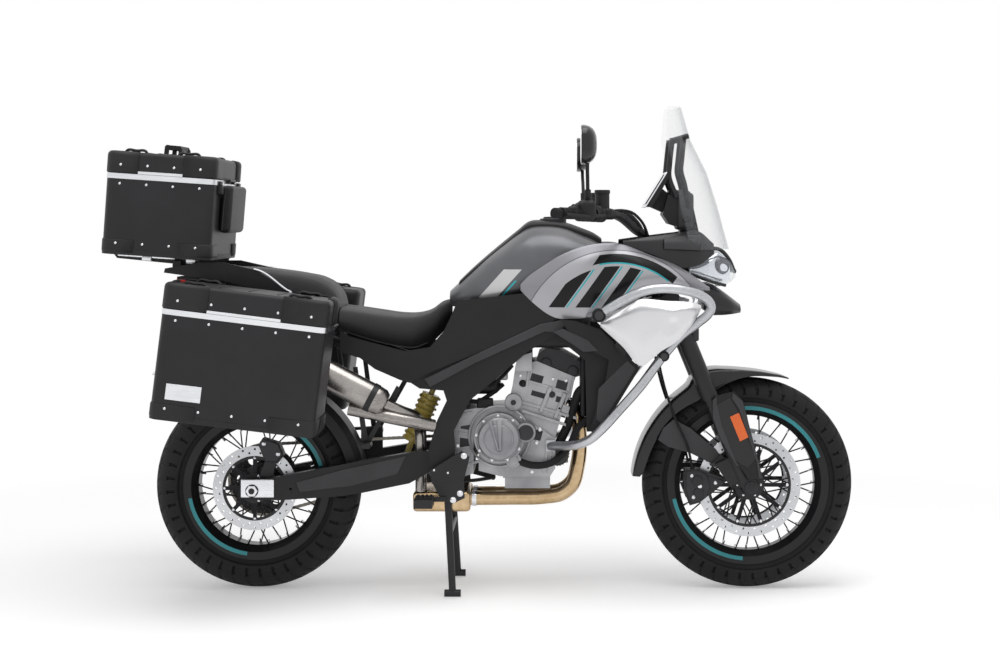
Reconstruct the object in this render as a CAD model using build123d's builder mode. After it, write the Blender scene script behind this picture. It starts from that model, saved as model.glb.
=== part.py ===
"""Adventure motorcycle with hard luggage, standing on its centre stand. Millimetres.

X points forward, Y to the rider's left, Z up. The origin is on the floor, midway along the
machine's length. An outline is a list of (x, z) corners; a station is one cross-section of a body.
"""
from build123d import *
import os
from math import cos, radians, sin, sqrt

os.makedirs("parts", exist_ok=True)

# ---------------------------------------------------------------- driving dimensions
FRONT_TYRE_RADIUS = 329.0
FRONT_TYRE_WIDTH = 110.0
FRONT_RIM_SEAT = 241.0
REAR_TYRE_RADIUS = 321.0
REAR_TYRE_WIDTH = 150.0
REAR_RIM_SEAT = 216.0
WHEELBASE = 1531.0
CASE_OVERHANG = 445.0          # top case behind the rear axle
REAR_AXLE_X = -(WHEELBASE + FRONT_TYRE_RADIUS - CASE_OVERHANG) / 2
FRONT_AXLE_X = REAR_AXLE_X + WHEELBASE
REAR_AXLE = (REAR_AXLE_X, REAR_TYRE_RADIUS)
FRONT_AXLE = (FRONT_AXLE_X, FRONT_TYRE_RADIUS)
PIVOT = (-133.0, 415.0)        # swingarm pivot

RAKE = 22.3                    # steering axis, degrees back from upright
FORK_OFFSET = 30.0             # fork tubes ahead of the steering axis
AXLE_LEAD = 11.0               # axle ahead of the fork tubes
FORK_SPREAD = 105.0            # fork tube to the middle plane
OUTER_TUBE_RADIUS = 27.0
INNER_TUBE_RADIUS = 21.5
FRONT_AXLE_RADIUS = 10.0
REAR_AXLE_RADIUS = 12.5
SHAFT_CLEARANCE = 0.1

BAR_RADIUS = 11.0
CRASH_TUBE_RADIUS = 12.7
RAIL_RADIUS = 12.0

CASE_WALL = 3.0                # luggage wall
CASE_SEAM = 0.5                # gap between a shell and its lid
PANNIER_INNER = 250.0
PANNIER_WIDTH = 235.0
PANNIER_LENGTH = 475.0
PANNIER_HEIGHT = 318.0
PANNIER_LID = 74.0
PANNIER_TILT = 7.0
PANNIER_REAR_SEAM = (-906.0, 900.0)
TOP_CASE_LENGTH = 331.0
TOP_CASE_WIDTH = 430.0
TOP_CASE_HEIGHT = 245.0
TOP_CASE_LID = 66.0
TOP_CASE_TILT = 3.9
TOP_CASE_CORNER = 28.0
PANNIER_CORNER = 26.0

BODIES = {}


# ---------------------------------------------------------------- helpers
def save(block, name):
    """Labels a finished piece and writes it."""
    block.part.label = name
    export_step(block.part, f"parts/{name}.step")
    BODIES[name] = block.part


def slab(outline, y_high, y_low, mode=Mode.ADD):
    """An (x, z) outline given thickness from y_high down to y_low."""
    with BuildSketch(Plane.XZ.offset(-y_high)) as face:
        with BuildLine():
            Polyline(*outline, close=True)
        make_face()
    extrude(face.sketch, amount=y_high - y_low, mode=mode)


def pair(outline, y_outer, y_inner, mode=Mode.ADD):
    """The same slab on the left and on the right."""
    slab(outline, y_outer, y_inner, mode)
    slab(outline, -y_inner, -y_outer, mode)


def drum(centre, radius, y_high, y_low, mode=Mode.ADD):
    """A cylinder across the machine, its centre an (x, z) point."""
    with BuildSketch(Plane.XZ.offset(-y_high)) as face:
        with Locations(centre):
            Circle(radius)
    extrude(face.sketch, amount=y_high - y_low, mode=mode)


def drums(centre, radius, y_outer, y_inner, mode=Mode.ADD):
    """The same drum on the left and on the right."""
    drum(centre, radius, y_outer, y_inner, mode)
    drum(centre, radius, -y_inner, -y_outer, mode)


def rod(start, end, radius, mode=Mode.ADD):
    """A straight round bar between two points."""
    start, end = Vector(*start), Vector(*end)
    with BuildSketch(Plane(start, z_dir=end - start)) as face:
        Circle(radius)
    extrude(face.sketch, amount=(end - start).length, mode=mode)


def tube(points, radius, bend):
    """A round tube along straight runs joined by arcs."""
    with BuildLine() as path:
        FilletPolyline(*points, radius=bend)
    with BuildSketch(Plane(path.line @ 0, z_dir=path.line % 0)) as face:
        Circle(radius)
    sweep(sections=face.sketch, path=path.line)


def mirrored(points):
    """The same points on the other side."""
    return [(x, -y, z) for x, y, z in points]


def cross_plane(x):
    """Plane across the machine at x: the sketch's x is Y and its y is Z."""
    return Plane((x, 0, 0), x_dir=(0, 1, 0), z_dir=(1, 0, 0))


def skin(stations, thickness, side=-1):
    """A panel. Each station is (x, [(y, z), ...]) from low to high, y measured outwards."""
    sections = []
    for x, points in stations:
        outer = [(side * y, z) for y, z in points]
        inner = [(side * (y - thickness), z) for y, z in reversed(points)]
        with BuildSketch(cross_plane(x)) as section:
            with BuildLine():
                Polyline(*outer, *inner, close=True)
            make_face()
        sections.append(section.sketch)
    loft(sections=sections, ruled=True)


def hull_body(stations):
    """A solid body. Each station is (x, [(y, z), ...]) from the bottom edge up to the top edge."""
    sections = []
    for x, points in stations:
        left = [(-y, z) for y, z in reversed(points)]
        with BuildSketch(cross_plane(x)) as section:
            with BuildLine():
                Polyline(*points, *left, close=True)
            make_face()
        sections.append(section.sketch)
    loft(sections=sections, ruled=True)


def steer(forward, y, up):
    """A point on the raked fork: forward of the steering axis, up from the axle's height."""
    lean = radians(RAKE)
    reach = forward - FORK_OFFSET - AXLE_LEAD
    return (FRONT_AXLE[0] + reach * cos(lean) - up * sin(lean), y,
            FRONT_AXLE[1] + reach * sin(lean) + up * cos(lean))


def steer_plane(up):
    """Plane square to the steering axis: the sketch's x is forward and its y is Y."""
    lean = radians(RAKE)
    return Plane(steer(0, 0, up), x_dir=(cos(lean), 0, sin(lean)), z_dir=(-sin(lean), 0, cos(lean)))


def box_plane(corner, degrees, y_middle, length, up=0.0):
    """Plane of a tilted luggage box, centred on its length, `up` above its seam."""
    lean = radians(degrees)
    along = length / 2
    return Plane((corner[0] + along * cos(lean) + up * sin(lean), y_middle,
                  corner[1] - along * sin(lean) + up * cos(lean)),
                 x_dir=(cos(lean), 0, -sin(lean)), z_dir=(sin(lean), 0, cos(lean)))


# ---------------------------------------------------------------- wheels
def wheel_plane(axle):
    """Sketch plane through a wheel's axle: x is across the machine, y is the radius."""
    return Plane((axle[0], 0, axle[1]), x_dir=(0, 1, 0), z_dir=(1, 0, 0))


def spin_axis(axle):
    return Axis((axle[0], 0, axle[1]), (0, 1, 0))


def ring(axle, outline, arc=360.0):
    """An (across, radius) outline turned about an axle."""
    with BuildSketch(wheel_plane(axle)) as section:
        with BuildLine():
            Polyline(*outline, close=True)
        make_face()
    revolve(section.sketch, axis=spin_axis(axle), revolution_arc=arc)


def tyre(axle, radius, width, seat, rim_half):
    """Round-shouldered carcass with a hollow inside, open at the beads."""
    half, shoulder, wall = width / 2, radius - width * 0.44, 9.0
    bead = seat + 2.0
    foot = rim_half - RIM_LIP - 0.5
    root = seat + RIM_FLANGE + 3
    with BuildSketch(wheel_plane(axle)) as section:
        with BuildLine():
            ThreePointArc((-half, shoulder), (0, radius), (half, shoulder))
            Polyline((half, shoulder), (foot + 2, root), (foot, bead), (foot - wall, bead),
                     (foot - wall, root), (half - wall, shoulder))
            ThreePointArc((half - wall, shoulder), (0, radius - wall), (wall - half, shoulder))
            Polyline((wall - half, shoulder), (wall - foot, root), (wall - foot, bead),
                     (-foot, bead), (-foot - 2, root), (-half, shoulder))
        make_face()
    revolve(section.sketch, axis=spin_axis(axle))


RIM_DEPTH = 30.0
RIM_FLANGE = 12.0
RIM_LIP = 5.0
SPOKE_RADIUS = 2.2
WHEELS = {  # axle, seat radius, rim half width, hub half width, hub flange radius, bore radius, spokes
    "front": (FRONT_AXLE, FRONT_RIM_SEAT, 40.0, 52.0, 52.0, FRONT_AXLE_RADIUS, 36),
    "rear": (REAR_AXLE, REAR_RIM_SEAT, 58.0, 66.0, 62.0, REAR_AXLE_RADIUS, 36),
}

for end, radius, width in (("front", FRONT_TYRE_RADIUS, FRONT_TYRE_WIDTH),
                           ("rear", REAR_TYRE_RADIUS, REAR_TYRE_WIDTH)):
    axle, seat, rim_half = WHEELS[end][:3]
    with BuildPart() as carcass:
        tyre(axle, radius, width, seat, rim_half)
    save(carcass, f"{end}_tyre")

for end, (axle, seat, half, hub_half, flange, bore, spokes) in WHEELS.items():
    inner = seat - RIM_DEPTH
    with BuildPart() as wheel:
        ring(axle, [(-half, seat + RIM_FLANGE), (-half + 3, seat + RIM_FLANGE), (-half + 5, seat),
                    (-half * 0.5, seat - 2), (-half * 0.42, seat - 16), (half * 0.42, seat - 16),
                    (half * 0.5, seat - 2), (half - 5, seat), (half - 3, seat + RIM_FLANGE),
                    (half, seat + RIM_FLANGE), (half - 2, seat - 12), (half * 0.45, inner),
                    (-half * 0.45, inner), (-half + 2, seat - 12)])
        ring(axle, [(-hub_half, bore + SHAFT_CLEARANCE), (-hub_half, flange * 0.55),
                    (-hub_half * 0.72, flange * 0.6), (-hub_half * 0.66, flange),
                    (-hub_half * 0.55, flange), (-hub_half * 0.5, flange * 0.62),
                    (hub_half * 0.5, flange * 0.62), (hub_half * 0.55, flange),
                    (hub_half * 0.66, flange), (hub_half * 0.72, flange * 0.6),
                    (hub_half, flange * 0.55), (hub_half, bore + SHAFT_CLEARANCE)])
        for n in range(spokes):                       # crossed spokes, alternating sides
            side = 1 if n % 2 else -1
            lay = 1 if (n // 2) % 2 else -1
            rim_angle = radians(360 / spokes * n)
            hub_angle = rim_angle + lay * radians(48)
            foot = (axle[0] + (flange - 6) * cos(hub_angle), side * hub_half * 0.6,
                    axle[1] + (flange - 6) * sin(hub_angle))
            tip = (axle[0] + (inner + 4) * cos(rim_angle), side * half * 0.35,
                   axle[1] + (inner + 4) * sin(rim_angle))
            rod(foot, tip, SPOKE_RADIUS)
    save(wheel, f"{end}_wheel")

FRONT_DISC_RADIUS, FRONT_DISC_Y, DISC_THICKNESS = 160.0, 68.0, 5.0
REAR_DISC_RADIUS, REAR_DISC_Y = 130.0, -84.0


def brake_disc(axle, radius, y, band, hub_radius, arms, holes):
    """A drilled band, a ring on the hub and the arms between them."""
    with BuildSketch(Plane((axle[0], y + DISC_THICKNESS / 2, axle[1]), x_dir=(1, 0, 0),
                           z_dir=(0, -1, 0))) as face:
        Circle(radius)
        Circle(radius - band, mode=Mode.SUBTRACT)
        Circle(hub_radius + 12)
        with PolarLocations((radius - band + 4 + hub_radius) / 2, arms):
            Rectangle(radius - band - hub_radius + 2, 12)
        Circle(hub_radius, mode=Mode.SUBTRACT)
        with PolarLocations(radius - band * 0.3, holes):
            Circle(3.5, mode=Mode.SUBTRACT)
        with PolarLocations(radius - band * 0.68, holes, start_angle=180 / holes):
            Circle(3.5, mode=Mode.SUBTRACT)
    extrude(face.sketch, amount=DISC_THICKNESS)


FRONT_HUB_HALF, REAR_HUB_HALF = WHEELS["front"][3], WHEELS["rear"][3]
with BuildPart() as front_discs:
    for y in (FRONT_DISC_Y, -FRONT_DISC_Y):
        brake_disc(FRONT_AXLE, FRONT_DISC_RADIUS, y, 34.0, 18.0, 10, 24)
    drums(FRONT_AXLE, 26.0, FRONT_DISC_Y + DISC_THICKNESS / 2, FRONT_HUB_HALF)
    drum(FRONT_AXLE, FRONT_AXLE_RADIUS + SHAFT_CLEARANCE, FRONT_DISC_Y + 9, -FRONT_DISC_Y - 9,
         mode=Mode.SUBTRACT)
save(front_discs, "front_discs")

with BuildPart() as rear_disc:
    brake_disc(REAR_AXLE, REAR_DISC_RADIUS, REAR_DISC_Y, 30.0, 20.0, 8, 20)
    drum(REAR_AXLE, 32.0, -REAR_HUB_HALF, REAR_DISC_Y - DISC_THICKNESS / 2)
    drum(REAR_AXLE, REAR_AXLE_RADIUS + SHAFT_CLEARANCE, 0.0, REAR_DISC_Y - 9, mode=Mode.SUBTRACT)
save(rear_disc, "rear_disc")

SPROCKET_RADIUS, CHAIN_Y, SPROCKET_THICKNESS = 108.0, 92.0, 6.0
SPROCKET_FRONT, SPROCKET_FRONT_RADIUS = (-62.0, 425.0), 36.0
with BuildPart() as rear_sprocket:
    drum(REAR_AXLE, SPROCKET_RADIUS, CHAIN_Y + SPROCKET_THICKNESS / 2,
         CHAIN_Y - SPROCKET_THICKNESS / 2)
    drum(REAR_AXLE, 40.0, CHAIN_Y, REAR_HUB_HALF)
    drum(REAR_AXLE, REAR_AXLE_RADIUS + SHAFT_CLEARANCE, CHAIN_Y + 9, 0.0, mode=Mode.SUBTRACT)
    with BuildSketch(Plane((REAR_AXLE[0], CHAIN_Y + SPROCKET_THICKNESS, REAR_AXLE[1]),
                           x_dir=(1, 0, 0), z_dir=(0, -1, 0))) as windows:
        with PolarLocations(72.0, 6):
            Circle(17.0)
    extrude(windows.sketch, amount=SPROCKET_THICKNESS * 2, mode=Mode.SUBTRACT)
save(rear_sprocket, "rear_sprocket")

# ---------------------------------------------------------------- frame
SPAR_INNER, SPAR_OUTER = 134.0, 152.0
HEAD_TUBE_RADIUS, STEM_RADIUS = 33.0, 15.0
HEAD_LOW, HEAD_HIGH = 655.0, 788.0          # head tube ends, up the steering axis
PIVOT_RADIUS = 10.0
LAMP_BACK = 636.0               # back face of the headlamp
STAND_PIVOT = (-110.0, 335.0)
STAND_PIVOT_RADIUS = 8.0
SIDE_STAND_PIVOT = (12.0, 336.0)
SIDE_STAND_PIN = 6.0
SIDE_STAND_Y = 171.0
SPAR = [(-230, 660), (-162, 691), (-9, 752), (144, 820), (236, 850), (400, 985), (436, 1002),
        (462, 925), (420, 880), (236, 810), (140, 750), (52, 675), (-40, 599), (-88, 507),
        (-84, 440), (-92, 330), (-104, 315), (-128, 322), (-158, 385), (-168, 440), (-140, 537),
        (-110, 599), (-120, 630), (-193, 636)]
with BuildPart() as main_frame:
    pair(SPAR, SPAR_OUTER, SPAR_INNER)
    head_low, head_high = steer(0, 0, HEAD_LOW + 12), steer(0, 0, HEAD_HIGH - 12)
    stay_low, stay_high = steer(25, 0, 700), steer(25, 0, 765)
    slab([(405, 915), (405, 980), (435, 1000), (head_high[0], head_high[2]),
          (head_low[0], head_low[2]), (490, 905)], 40, -40)
    slab([(stay_low[0], stay_low[2]), (stay_high[0], stay_high[2]), (LAMP_BACK, 1042),
          (LAMP_BACK, 990)], 18, -18)
    rod((423, -SPAR_INNER, 935), (423, SPAR_INNER, 935), 26)
    rod(steer(0, 0, HEAD_LOW), steer(0, 0, HEAD_HIGH), HEAD_TUBE_RADIUS)
    rod(steer(0, 0, HEAD_LOW - 10), steer(0, 0, HEAD_HIGH + 10), STEM_RADIUS + SHAFT_CLEARANCE,
        mode=Mode.SUBTRACT)
    rod((330, -SPAR_INNER, 928), (330, SPAR_INNER, 928), 12)
    rod((-150, -SPAR_INNER, 655), (-150, SPAR_INNER, 655), 14)
    drum(PIVOT, PIVOT_RADIUS, SPAR_INNER, -SPAR_INNER)
    drum(STAND_PIVOT, STAND_PIVOT_RADIUS, SPAR_INNER, -SPAR_INNER)
    slab([(-98, 345), (-98, 378), (30, 372), (28, 322), (-4, 320)], 152, 145)
    drum(SIDE_STAND_PIVOT, SIDE_STAND_PIN, SIDE_STAND_Y + 11, 145)
save(main_frame, "main_frame")

RAIL_Y = SPAR_INNER - RAIL_RADIUS
CARRIER_RADIUS = 8.0
with BuildPart() as subframe:
    for side in (1, -1):
        y = side * RAIL_Y
        tube([(-40, y, 722), (-240, y, 716), (-455, y, 786), (-700, y, 880), (-840, y, 925)],
             RAIL_RADIUS, 60)
        rod((-170, y, 655), (-455, y, 774), 10)
        rod((-60, y, 722), (-60, y, 868), 10)
        y = side * (PANNIER_INNER - CARRIER_RADIUS)
        tube([(-470, y, 600), (-500, y, 800), (-860, y, 850), (-880, y, 640)], CARRIER_RADIUS, 30)
        rod((-560, y, 808), (-560, side * RAIL_Y, 826), CARRIER_RADIUS)
        rod((-780, y, 838), (-764, side * RAIL_Y, 900), CARRIER_RADIUS)
    for x, z in ((-455, 786), (-700, 880), (-820, 919), (-60, 868)):
        rod((x, -RAIL_Y, z), (x, RAIL_Y, z), RAIL_RADIUS)
save(subframe, "subframe")

# ---------------------------------------------------------------- engine
CASE_HALF = 105.0
with BuildPart() as crankcase:
    slab([(-30, 570), (75, 575), (222, 478), (222, 385), (206, 361), (53, 361), (-14, 378), (-14, 470), (-30, 475)],
         CASE_HALF, -CASE_HALF)
    slab([(-95, 560), (-30, 570), (-30, 370), (-60, 360), (-95, 385)], 74, -CASE_HALF)
    slab([(66, 320), (206, 320), (206, 361), (66, 361)], 80, -80)
    drums((-80, 545), 14, SPAR_INNER, 60)
    rod((220, -20, 425), (262, -20, 425), 34)
    drum(SPROCKET_FRONT, SPROCKET_FRONT_RADIUS, CHAIN_Y + 3, CHAIN_Y - 3)
    drum(SPROCKET_FRONT, 18, CHAIN_Y, 70)
save(crankcase, "crankcase")

with BuildPart() as cylinder_head:
    slab([(75, 575), (222, 478), (240, 545), (285, 665), (165, 715), (99, 700), (90, 640)], 95, -95)
    pair([(99, 688), (150, 688), (150, 745), (104, 730)], SPAR_INNER, 70)
save(cylinder_head, "cylinder_head")

with BuildPart() as valve_cover:
    slab([(165, 715), (285, 665), (307, 672), (300, 712), (238, 748), (200, 754), (172, 738)], 88, -88)
save(valve_cover, "valve_cover")

with BuildPart() as engine_covers:
    drum((54, 484), 76, -CASE_HALF, -176)
    drum((54, 484), 60, -176, -188)
    drum((160, 432), 30, -CASE_HALF, -150)
    drum((54, 470), 78, 158, CASE_HALF)
    drum((54, 470), 50, 168, 158)
save(engine_covers, "engine_covers")

PIPE_RADIUS = 22.0
COLLECTOR_TOP = 312.0
with BuildPart() as exhaust_headers:
    for y in (-45, 45):
        tube([(250.6, y, 571.8), (284, y, 559), (300, y, 462), (285, y, 340), (200, y, 288), (-40, y, 284)],
             PIPE_RADIUS, 24)
    slab([(-40, 255), (-40, COLLECTOR_TOP), (-218, COLLECTOR_TOP), (-218, 266), (-170, 248)], 100, -100)
save(exhaust_headers, "exhaust_headers")

with BuildPart() as muffler:
    tube([(-194, -76, COLLECTOR_TOP), (-194, -76, 490), (-206, -150, 548), (-300, -186, 592)], 18, 30)
    rod((-296, -186, 590), (-620, -186, 760), 44)
save(muffler, "muffler")

with BuildPart() as radiator:
    slab([(318, 505), (358, 505), (358, 660), (318, 660)], SPAR_OUTER, -SPAR_OUTER)
save(radiator, "radiator")

# ---------------------------------------------------------------- swingarm and final drive
ARM_INNER, ARM_OUTER = 104.0, 132.0
SPOOL, SPOOL_RADIUS, SPOOL_DEPTH = (-590.0, 326.0), 4.0, 20.0
ARM = [(-133, 442), (-195, 442), (-380, 411), (-633, 362), (-746, 346), (-746, 296), (-627, 291),
       (-442, 303), (-380, 312), (-226, 343), (-150, 385), (-112, 392), (-105, 430)]
with BuildPart() as swingarm:
    pair(ARM, ARM_OUTER, ARM_INNER)
    drum(PIVOT, 24, ARM_OUTER, -ARM_OUTER)
    rod((-255, -ARM_INNER, 388), (-255, ARM_INNER, 388), 24)
    drum(PIVOT, PIVOT_RADIUS + SHAFT_CLEARANCE, ARM_OUTER + 9, -ARM_OUTER - 9, mode=Mode.SUBTRACT)
    drum(REAR_AXLE, REAR_AXLE_RADIUS, ARM_OUTER + 14, -ARM_OUTER - 14)
    drums(REAR_AXLE, 20, ARM_OUTER + 10, ARM_OUTER)
    drums(SPOOL, SPOOL_RADIUS, ARM_OUTER + 1, ARM_OUTER - SPOOL_DEPTH, mode=Mode.SUBTRACT)
save(swingarm, "swingarm")

with BuildPart() as shock:
    rod((-246, 0, 412), (-153, 0, 641), 9)
    rod((-228, 0, 456), (-168, 0, 604), 28)
save(shock, "shock")

CHAIN_HALF_WIDTH, CHAIN_THICKNESS = 7.0, 7.0


def belt(front, front_radius, rear, rear_radius):
    """Outline of a loop round two circles, as (x, z) faces."""
    dx, dz = rear[0] - front[0], rear[1] - front[1]
    span = sqrt(dx * dx + dz * dz)
    ux, uz = dx / span, dz / span
    lift = (rear_radius - front_radius) / span
    flat = sqrt(1 - lift * lift)
    top = (-ux * lift + uz * flat, -uz * lift - ux * flat)
    low = (-ux * lift - uz * flat, -uz * lift + ux * flat)
    return [(front[0] + front_radius * top[0], front[1] + front_radius * top[1]),
            (rear[0] + rear_radius * top[0], rear[1] + rear_radius * top[1]),
            (rear[0] + ux * rear_radius, rear[1] + uz * rear_radius),
            (rear[0] + rear_radius * low[0], rear[1] + rear_radius * low[1]),
            (front[0] + front_radius * low[0], front[1] + front_radius * low[1]),
            (front[0] - ux * front_radius, front[1] - uz * front_radius)]


def belt_face(front_radius, rear_radius, mode=Mode.ADD):
    upper_front, upper_rear, rear_end, lower_rear, lower_front, front_end = belt(
        SPROCKET_FRONT, front_radius, REAR_AXLE, rear_radius)
    with BuildSketch(Plane.XZ.offset(-CHAIN_Y - CHAIN_HALF_WIDTH)) as face:
        with BuildLine():
            Line(upper_front, upper_rear)
            ThreePointArc(upper_rear, rear_end, lower_rear)
            Line(lower_rear, lower_front)
            ThreePointArc(lower_front, front_end, upper_front)
        make_face()
    extrude(face.sketch, amount=2 * CHAIN_HALF_WIDTH, mode=mode)


CHAIN_GAP = 0.5
with BuildPart() as chain:
    belt_face(SPROCKET_FRONT_RADIUS + CHAIN_GAP + CHAIN_THICKNESS,
              SPROCKET_RADIUS + CHAIN_GAP + CHAIN_THICKNESS)
    belt_face(SPROCKET_FRONT_RADIUS + CHAIN_GAP, SPROCKET_RADIUS + CHAIN_GAP, mode=Mode.SUBTRACT)
save(chain, "chain")

HUGGER_GAP, HUGGER_HALF, HUGGER_WALL = 14.0, 82.0, 4.0
with BuildPart() as hugger:
    r = REAR_TYRE_RADIUS + HUGGER_GAP
    with BuildSketch(wheel_plane(REAR_AXLE)) as section:
        with BuildLine():
            Polyline((-HUGGER_HALF, r - 42), (-HUGGER_HALF, r - 12), (-HUGGER_HALF + 30, r + HUGGER_WALL),
                     (HUGGER_HALF - 30, r + HUGGER_WALL), (HUGGER_HALF, r - 12), (HUGGER_HALF, r - 42),
                     (HUGGER_HALF - HUGGER_WALL, r - 42), (HUGGER_HALF - HUGGER_WALL, r - 14),
                     (HUGGER_HALF - 31, r), (-HUGGER_HALF + 31, r),
                     (-HUGGER_HALF + HUGGER_WALL, r - 14), (-HUGGER_HALF + HUGGER_WALL, r - 42),
                     close=True)
        make_face()
    revolve(section.sketch.rotate(spin_axis(REAR_AXLE), 78), axis=spin_axis(REAR_AXLE),
            revolution_arc=-66)
    drums((-418, 396), 8, ARM_INNER, HUGGER_HALF - 2)
    slab([(-630, 478), (-330, 492), (-330, 484), (-630, 468)], ARM_INNER, CHAIN_Y - 8)
    slab([(-400, 395), (-330, 400), (-330, 492), (-400, 488)], ARM_INNER, ARM_INNER - 3)
save(hugger, "hugger")

CALIPER_GAP = 1.5
with BuildPart() as rear_caliper:
    slab([(-694, 458), (-681, 478), (-630, 462), (-615, 425), (-635, 400), (-672, 403)],
         -64, -ARM_INNER)
    drum(REAR_AXLE, REAR_DISC_RADIUS + 3, REAR_DISC_Y + DISC_THICKNESS / 2 + CALIPER_GAP,
         REAR_DISC_Y - DISC_THICKNESS / 2 - CALIPER_GAP, mode=Mode.SUBTRACT)
    slab([(-690, 362), (-650, 355), (-640, 405), (-672, 408)], -95, -ARM_INNER)
save(rear_caliper, "rear_caliper")

# ---------------------------------------------------------------- fuel tank, seats and side panels
with BuildPart() as fuel_tank:
    hull_body([(-104, [(64, 885), (74, 905), (66, 922), (40, 930)]),
               (-60, [(95, 880), (112, 915), (92, 955), (50, 966)]),
               (20, [(120, 880), (142, 930), (116, 1012), (60, 1043)]),
               (110, [(130, 890), (162, 960), (140, 1070), (70, 1122)]),
               (190, [(130, 905), (168, 985), (144, 1088), (75, 1138)]),
               (290, [(125, 940), (160, 1005), (140, 1078), (70, 1118)]),
               (366, [(100, 990), (138, 1020), (120, 1060), (60, 1078)])])
    slab([(315, 940), (345, 940), (345, 1000), (315, 1000)], 40, -40)
save(fuel_tank, "fuel_tank")

with BuildPart() as saddle:
    hull_body([(-104.4, [(58, 832), (70, 870), (46, 902)]),
               (-162, [(92, 770), (112, 822), (80, 872)]),
               (-215, [(128, 756), (150, 808), (110, 856)]),
               (-300, [(142, 770), (164, 822), (120, 862)]),
               (-438, [(142, 811), (160, 845), (112, 879)])])
save(saddle, "saddle")

with BuildPart() as pillion_seat:
    hull_body([(-440, [(118, 800), (128, 850), (90, 884)]),
               (-470, [(118, 806), (132, 890), (100, 948)]),
               (-560, [(118, 845), (134, 930), (100, 980)]),
               (-690, [(116, 889.9), (130, 950), (96, 998)]),
               (-790, [(110, 930), (122, 970), (90, 1003)])])
save(pillion_seat, "pillion_seat")

SIDE_PANEL = [(-77, 905), (-92, 866), (-118, 812), (-160, 764), (-236, 752), (-403, 795), (-434, 814),
              (-434, 749), (-373, 731), (-327, 697), (-251, 664), (-221, 655), (-160, 688),
              (-7, 749), (145, 816), (236, 853), (200, 871), (142, 930)]
with BuildPart() as side_panels:
    pair(SIDE_PANEL, 172, 167)
    drums((-200, 717.2), 8, 167, RAIL_Y + RAIL_RADIUS)
    pair([(100, 786), (130, 796), (130, 830), (100, 820)], 167, SPAR_OUTER)
save(side_panels, "side_panels")

# ---------------------------------------------------------------- fairing
FAIRING_WALL = 4.0
SHROUD = [(146, [(172, 932), (178, 960), (172, 984)]),
          (200, [(177, 874), (196, 960), (176, 1030)]),
          (251, [(182, 856), (212, 960), (182, 1052)]),
          (320, [(190, 872), (228, 965), (186, 1073)]),
          (416, [(204, 915), (236, 995), (190, 1082)]),
          (507, [(208, 958), (228, 1005), (180, 1055)]),
          (597, [(194, 945), (205, 980), (168, 1013)]),
          (692, [(168, 936), (171, 941), (166, 946)])]
WING = [(357, [(232, 831), (236, 836), (232, 841)]),
        (420, [(240, 775), (254, 830), (236, 878)]),
        (484, [(244, 714), (262, 815), (230, 912)]),
        (540, [(242, 757), (260, 835), (226, 908)]),
        (600, [(232, 795), (250, 850), (218, 905)]),
        (662, [(214, 880), (218, 887), (212, 893)])]
COWL = [(428, [(184, 1070), (184, 1080), (178, 1089)]),
        (520, [(173, 1044), (172, 1076), (156, 1102)]),
        (600, [(162, 1006), (158, 1062), (134, 1112)]),
        (660, [(146, 1012), (142, 1056), (108, 1118)]),
        (712, [(108, 1046), (102, 1062), (92, 1078)])]
for name, stations in (("shrouds", SHROUD), ("side_wings", WING), ("nose_cowls", COWL)):
    with BuildPart() as panels:
        for side in (-1, 1):
            skin(stations, FAIRING_WALL, side)
        if name == "shrouds":
            drums((232, 985), 9, 202, 165.5)
    save(panels, name)

DEFLECTOR = [(236, 850), (281, 846), (357, 820), (440, 740), (478, 703), (348, 491), (327, 515),
             (372, 652), (384, 727), (327, 758), (300, 760)]
with BuildPart() as deflectors:
    pair(DEFLECTOR, 200, 194)
    pair([(400, 772), (428, 742), (450, 760), (424, 794)], 235, 194)
    pair([(236, 784), (313, 723), (318, 505), (362, 505), (384, 650), (384, 727), (345, 800),
          (300, 850), (236, 825)], SPAR_OUTER + 5, SPAR_OUTER)
    for spot in ((365, 600), (335, 788)):
        drums(spot, 8, 194, SPAR_OUTER + 5)
save(deflectors, "deflectors")

with BuildPart() as beak:
    hull_body([(680, [(86, 874), (106, 905), (96, 948)]),
               (704, [(82, 858), (103, 898), (90, 949.4)]),
               (760, [(70, 858), (88, 885), (76, 915)]),
               (800, [(40, 862), (52, 872), (40, 885)])])
save(beak, "beak")

with BuildPart() as headlight:
    hull_body([(LAMP_BACK, [(90, 975), (110, 1000), (96, 1018)]),
               (700, [(86, 950), (104, 1000), (84, 1040)]),
               (735, [(76, 946), (92, 1000), (70, 1056)]),
               (770, [(60, 962), (72, 990), (50, 1022)]),
               (784, [(40, 974), (46, 982), (38, 990)])])
save(headlight, "headlight")

with BuildPart() as cockpit:
    slab([(556, 1168), (575, 1140), (612, 1128), (668, 1112), (640, 1240), (584, 1226), (572, 1232)],
         70, -70)
    slab([(612, 1130), (612, 1042.3), (640, 1042.3), (668, 1112)], 34, -34)
    slab([(500, 1192), (567, 1299), (580, 1293), (521, 1192)], 90, -90)
    slab([(512, 1195), (556, 1250), (584, 1226), (556, 1176)], 30, -30)
    drums((628, 1150), 9, 143.8, 60)
save(cockpit, "cockpit")

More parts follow.
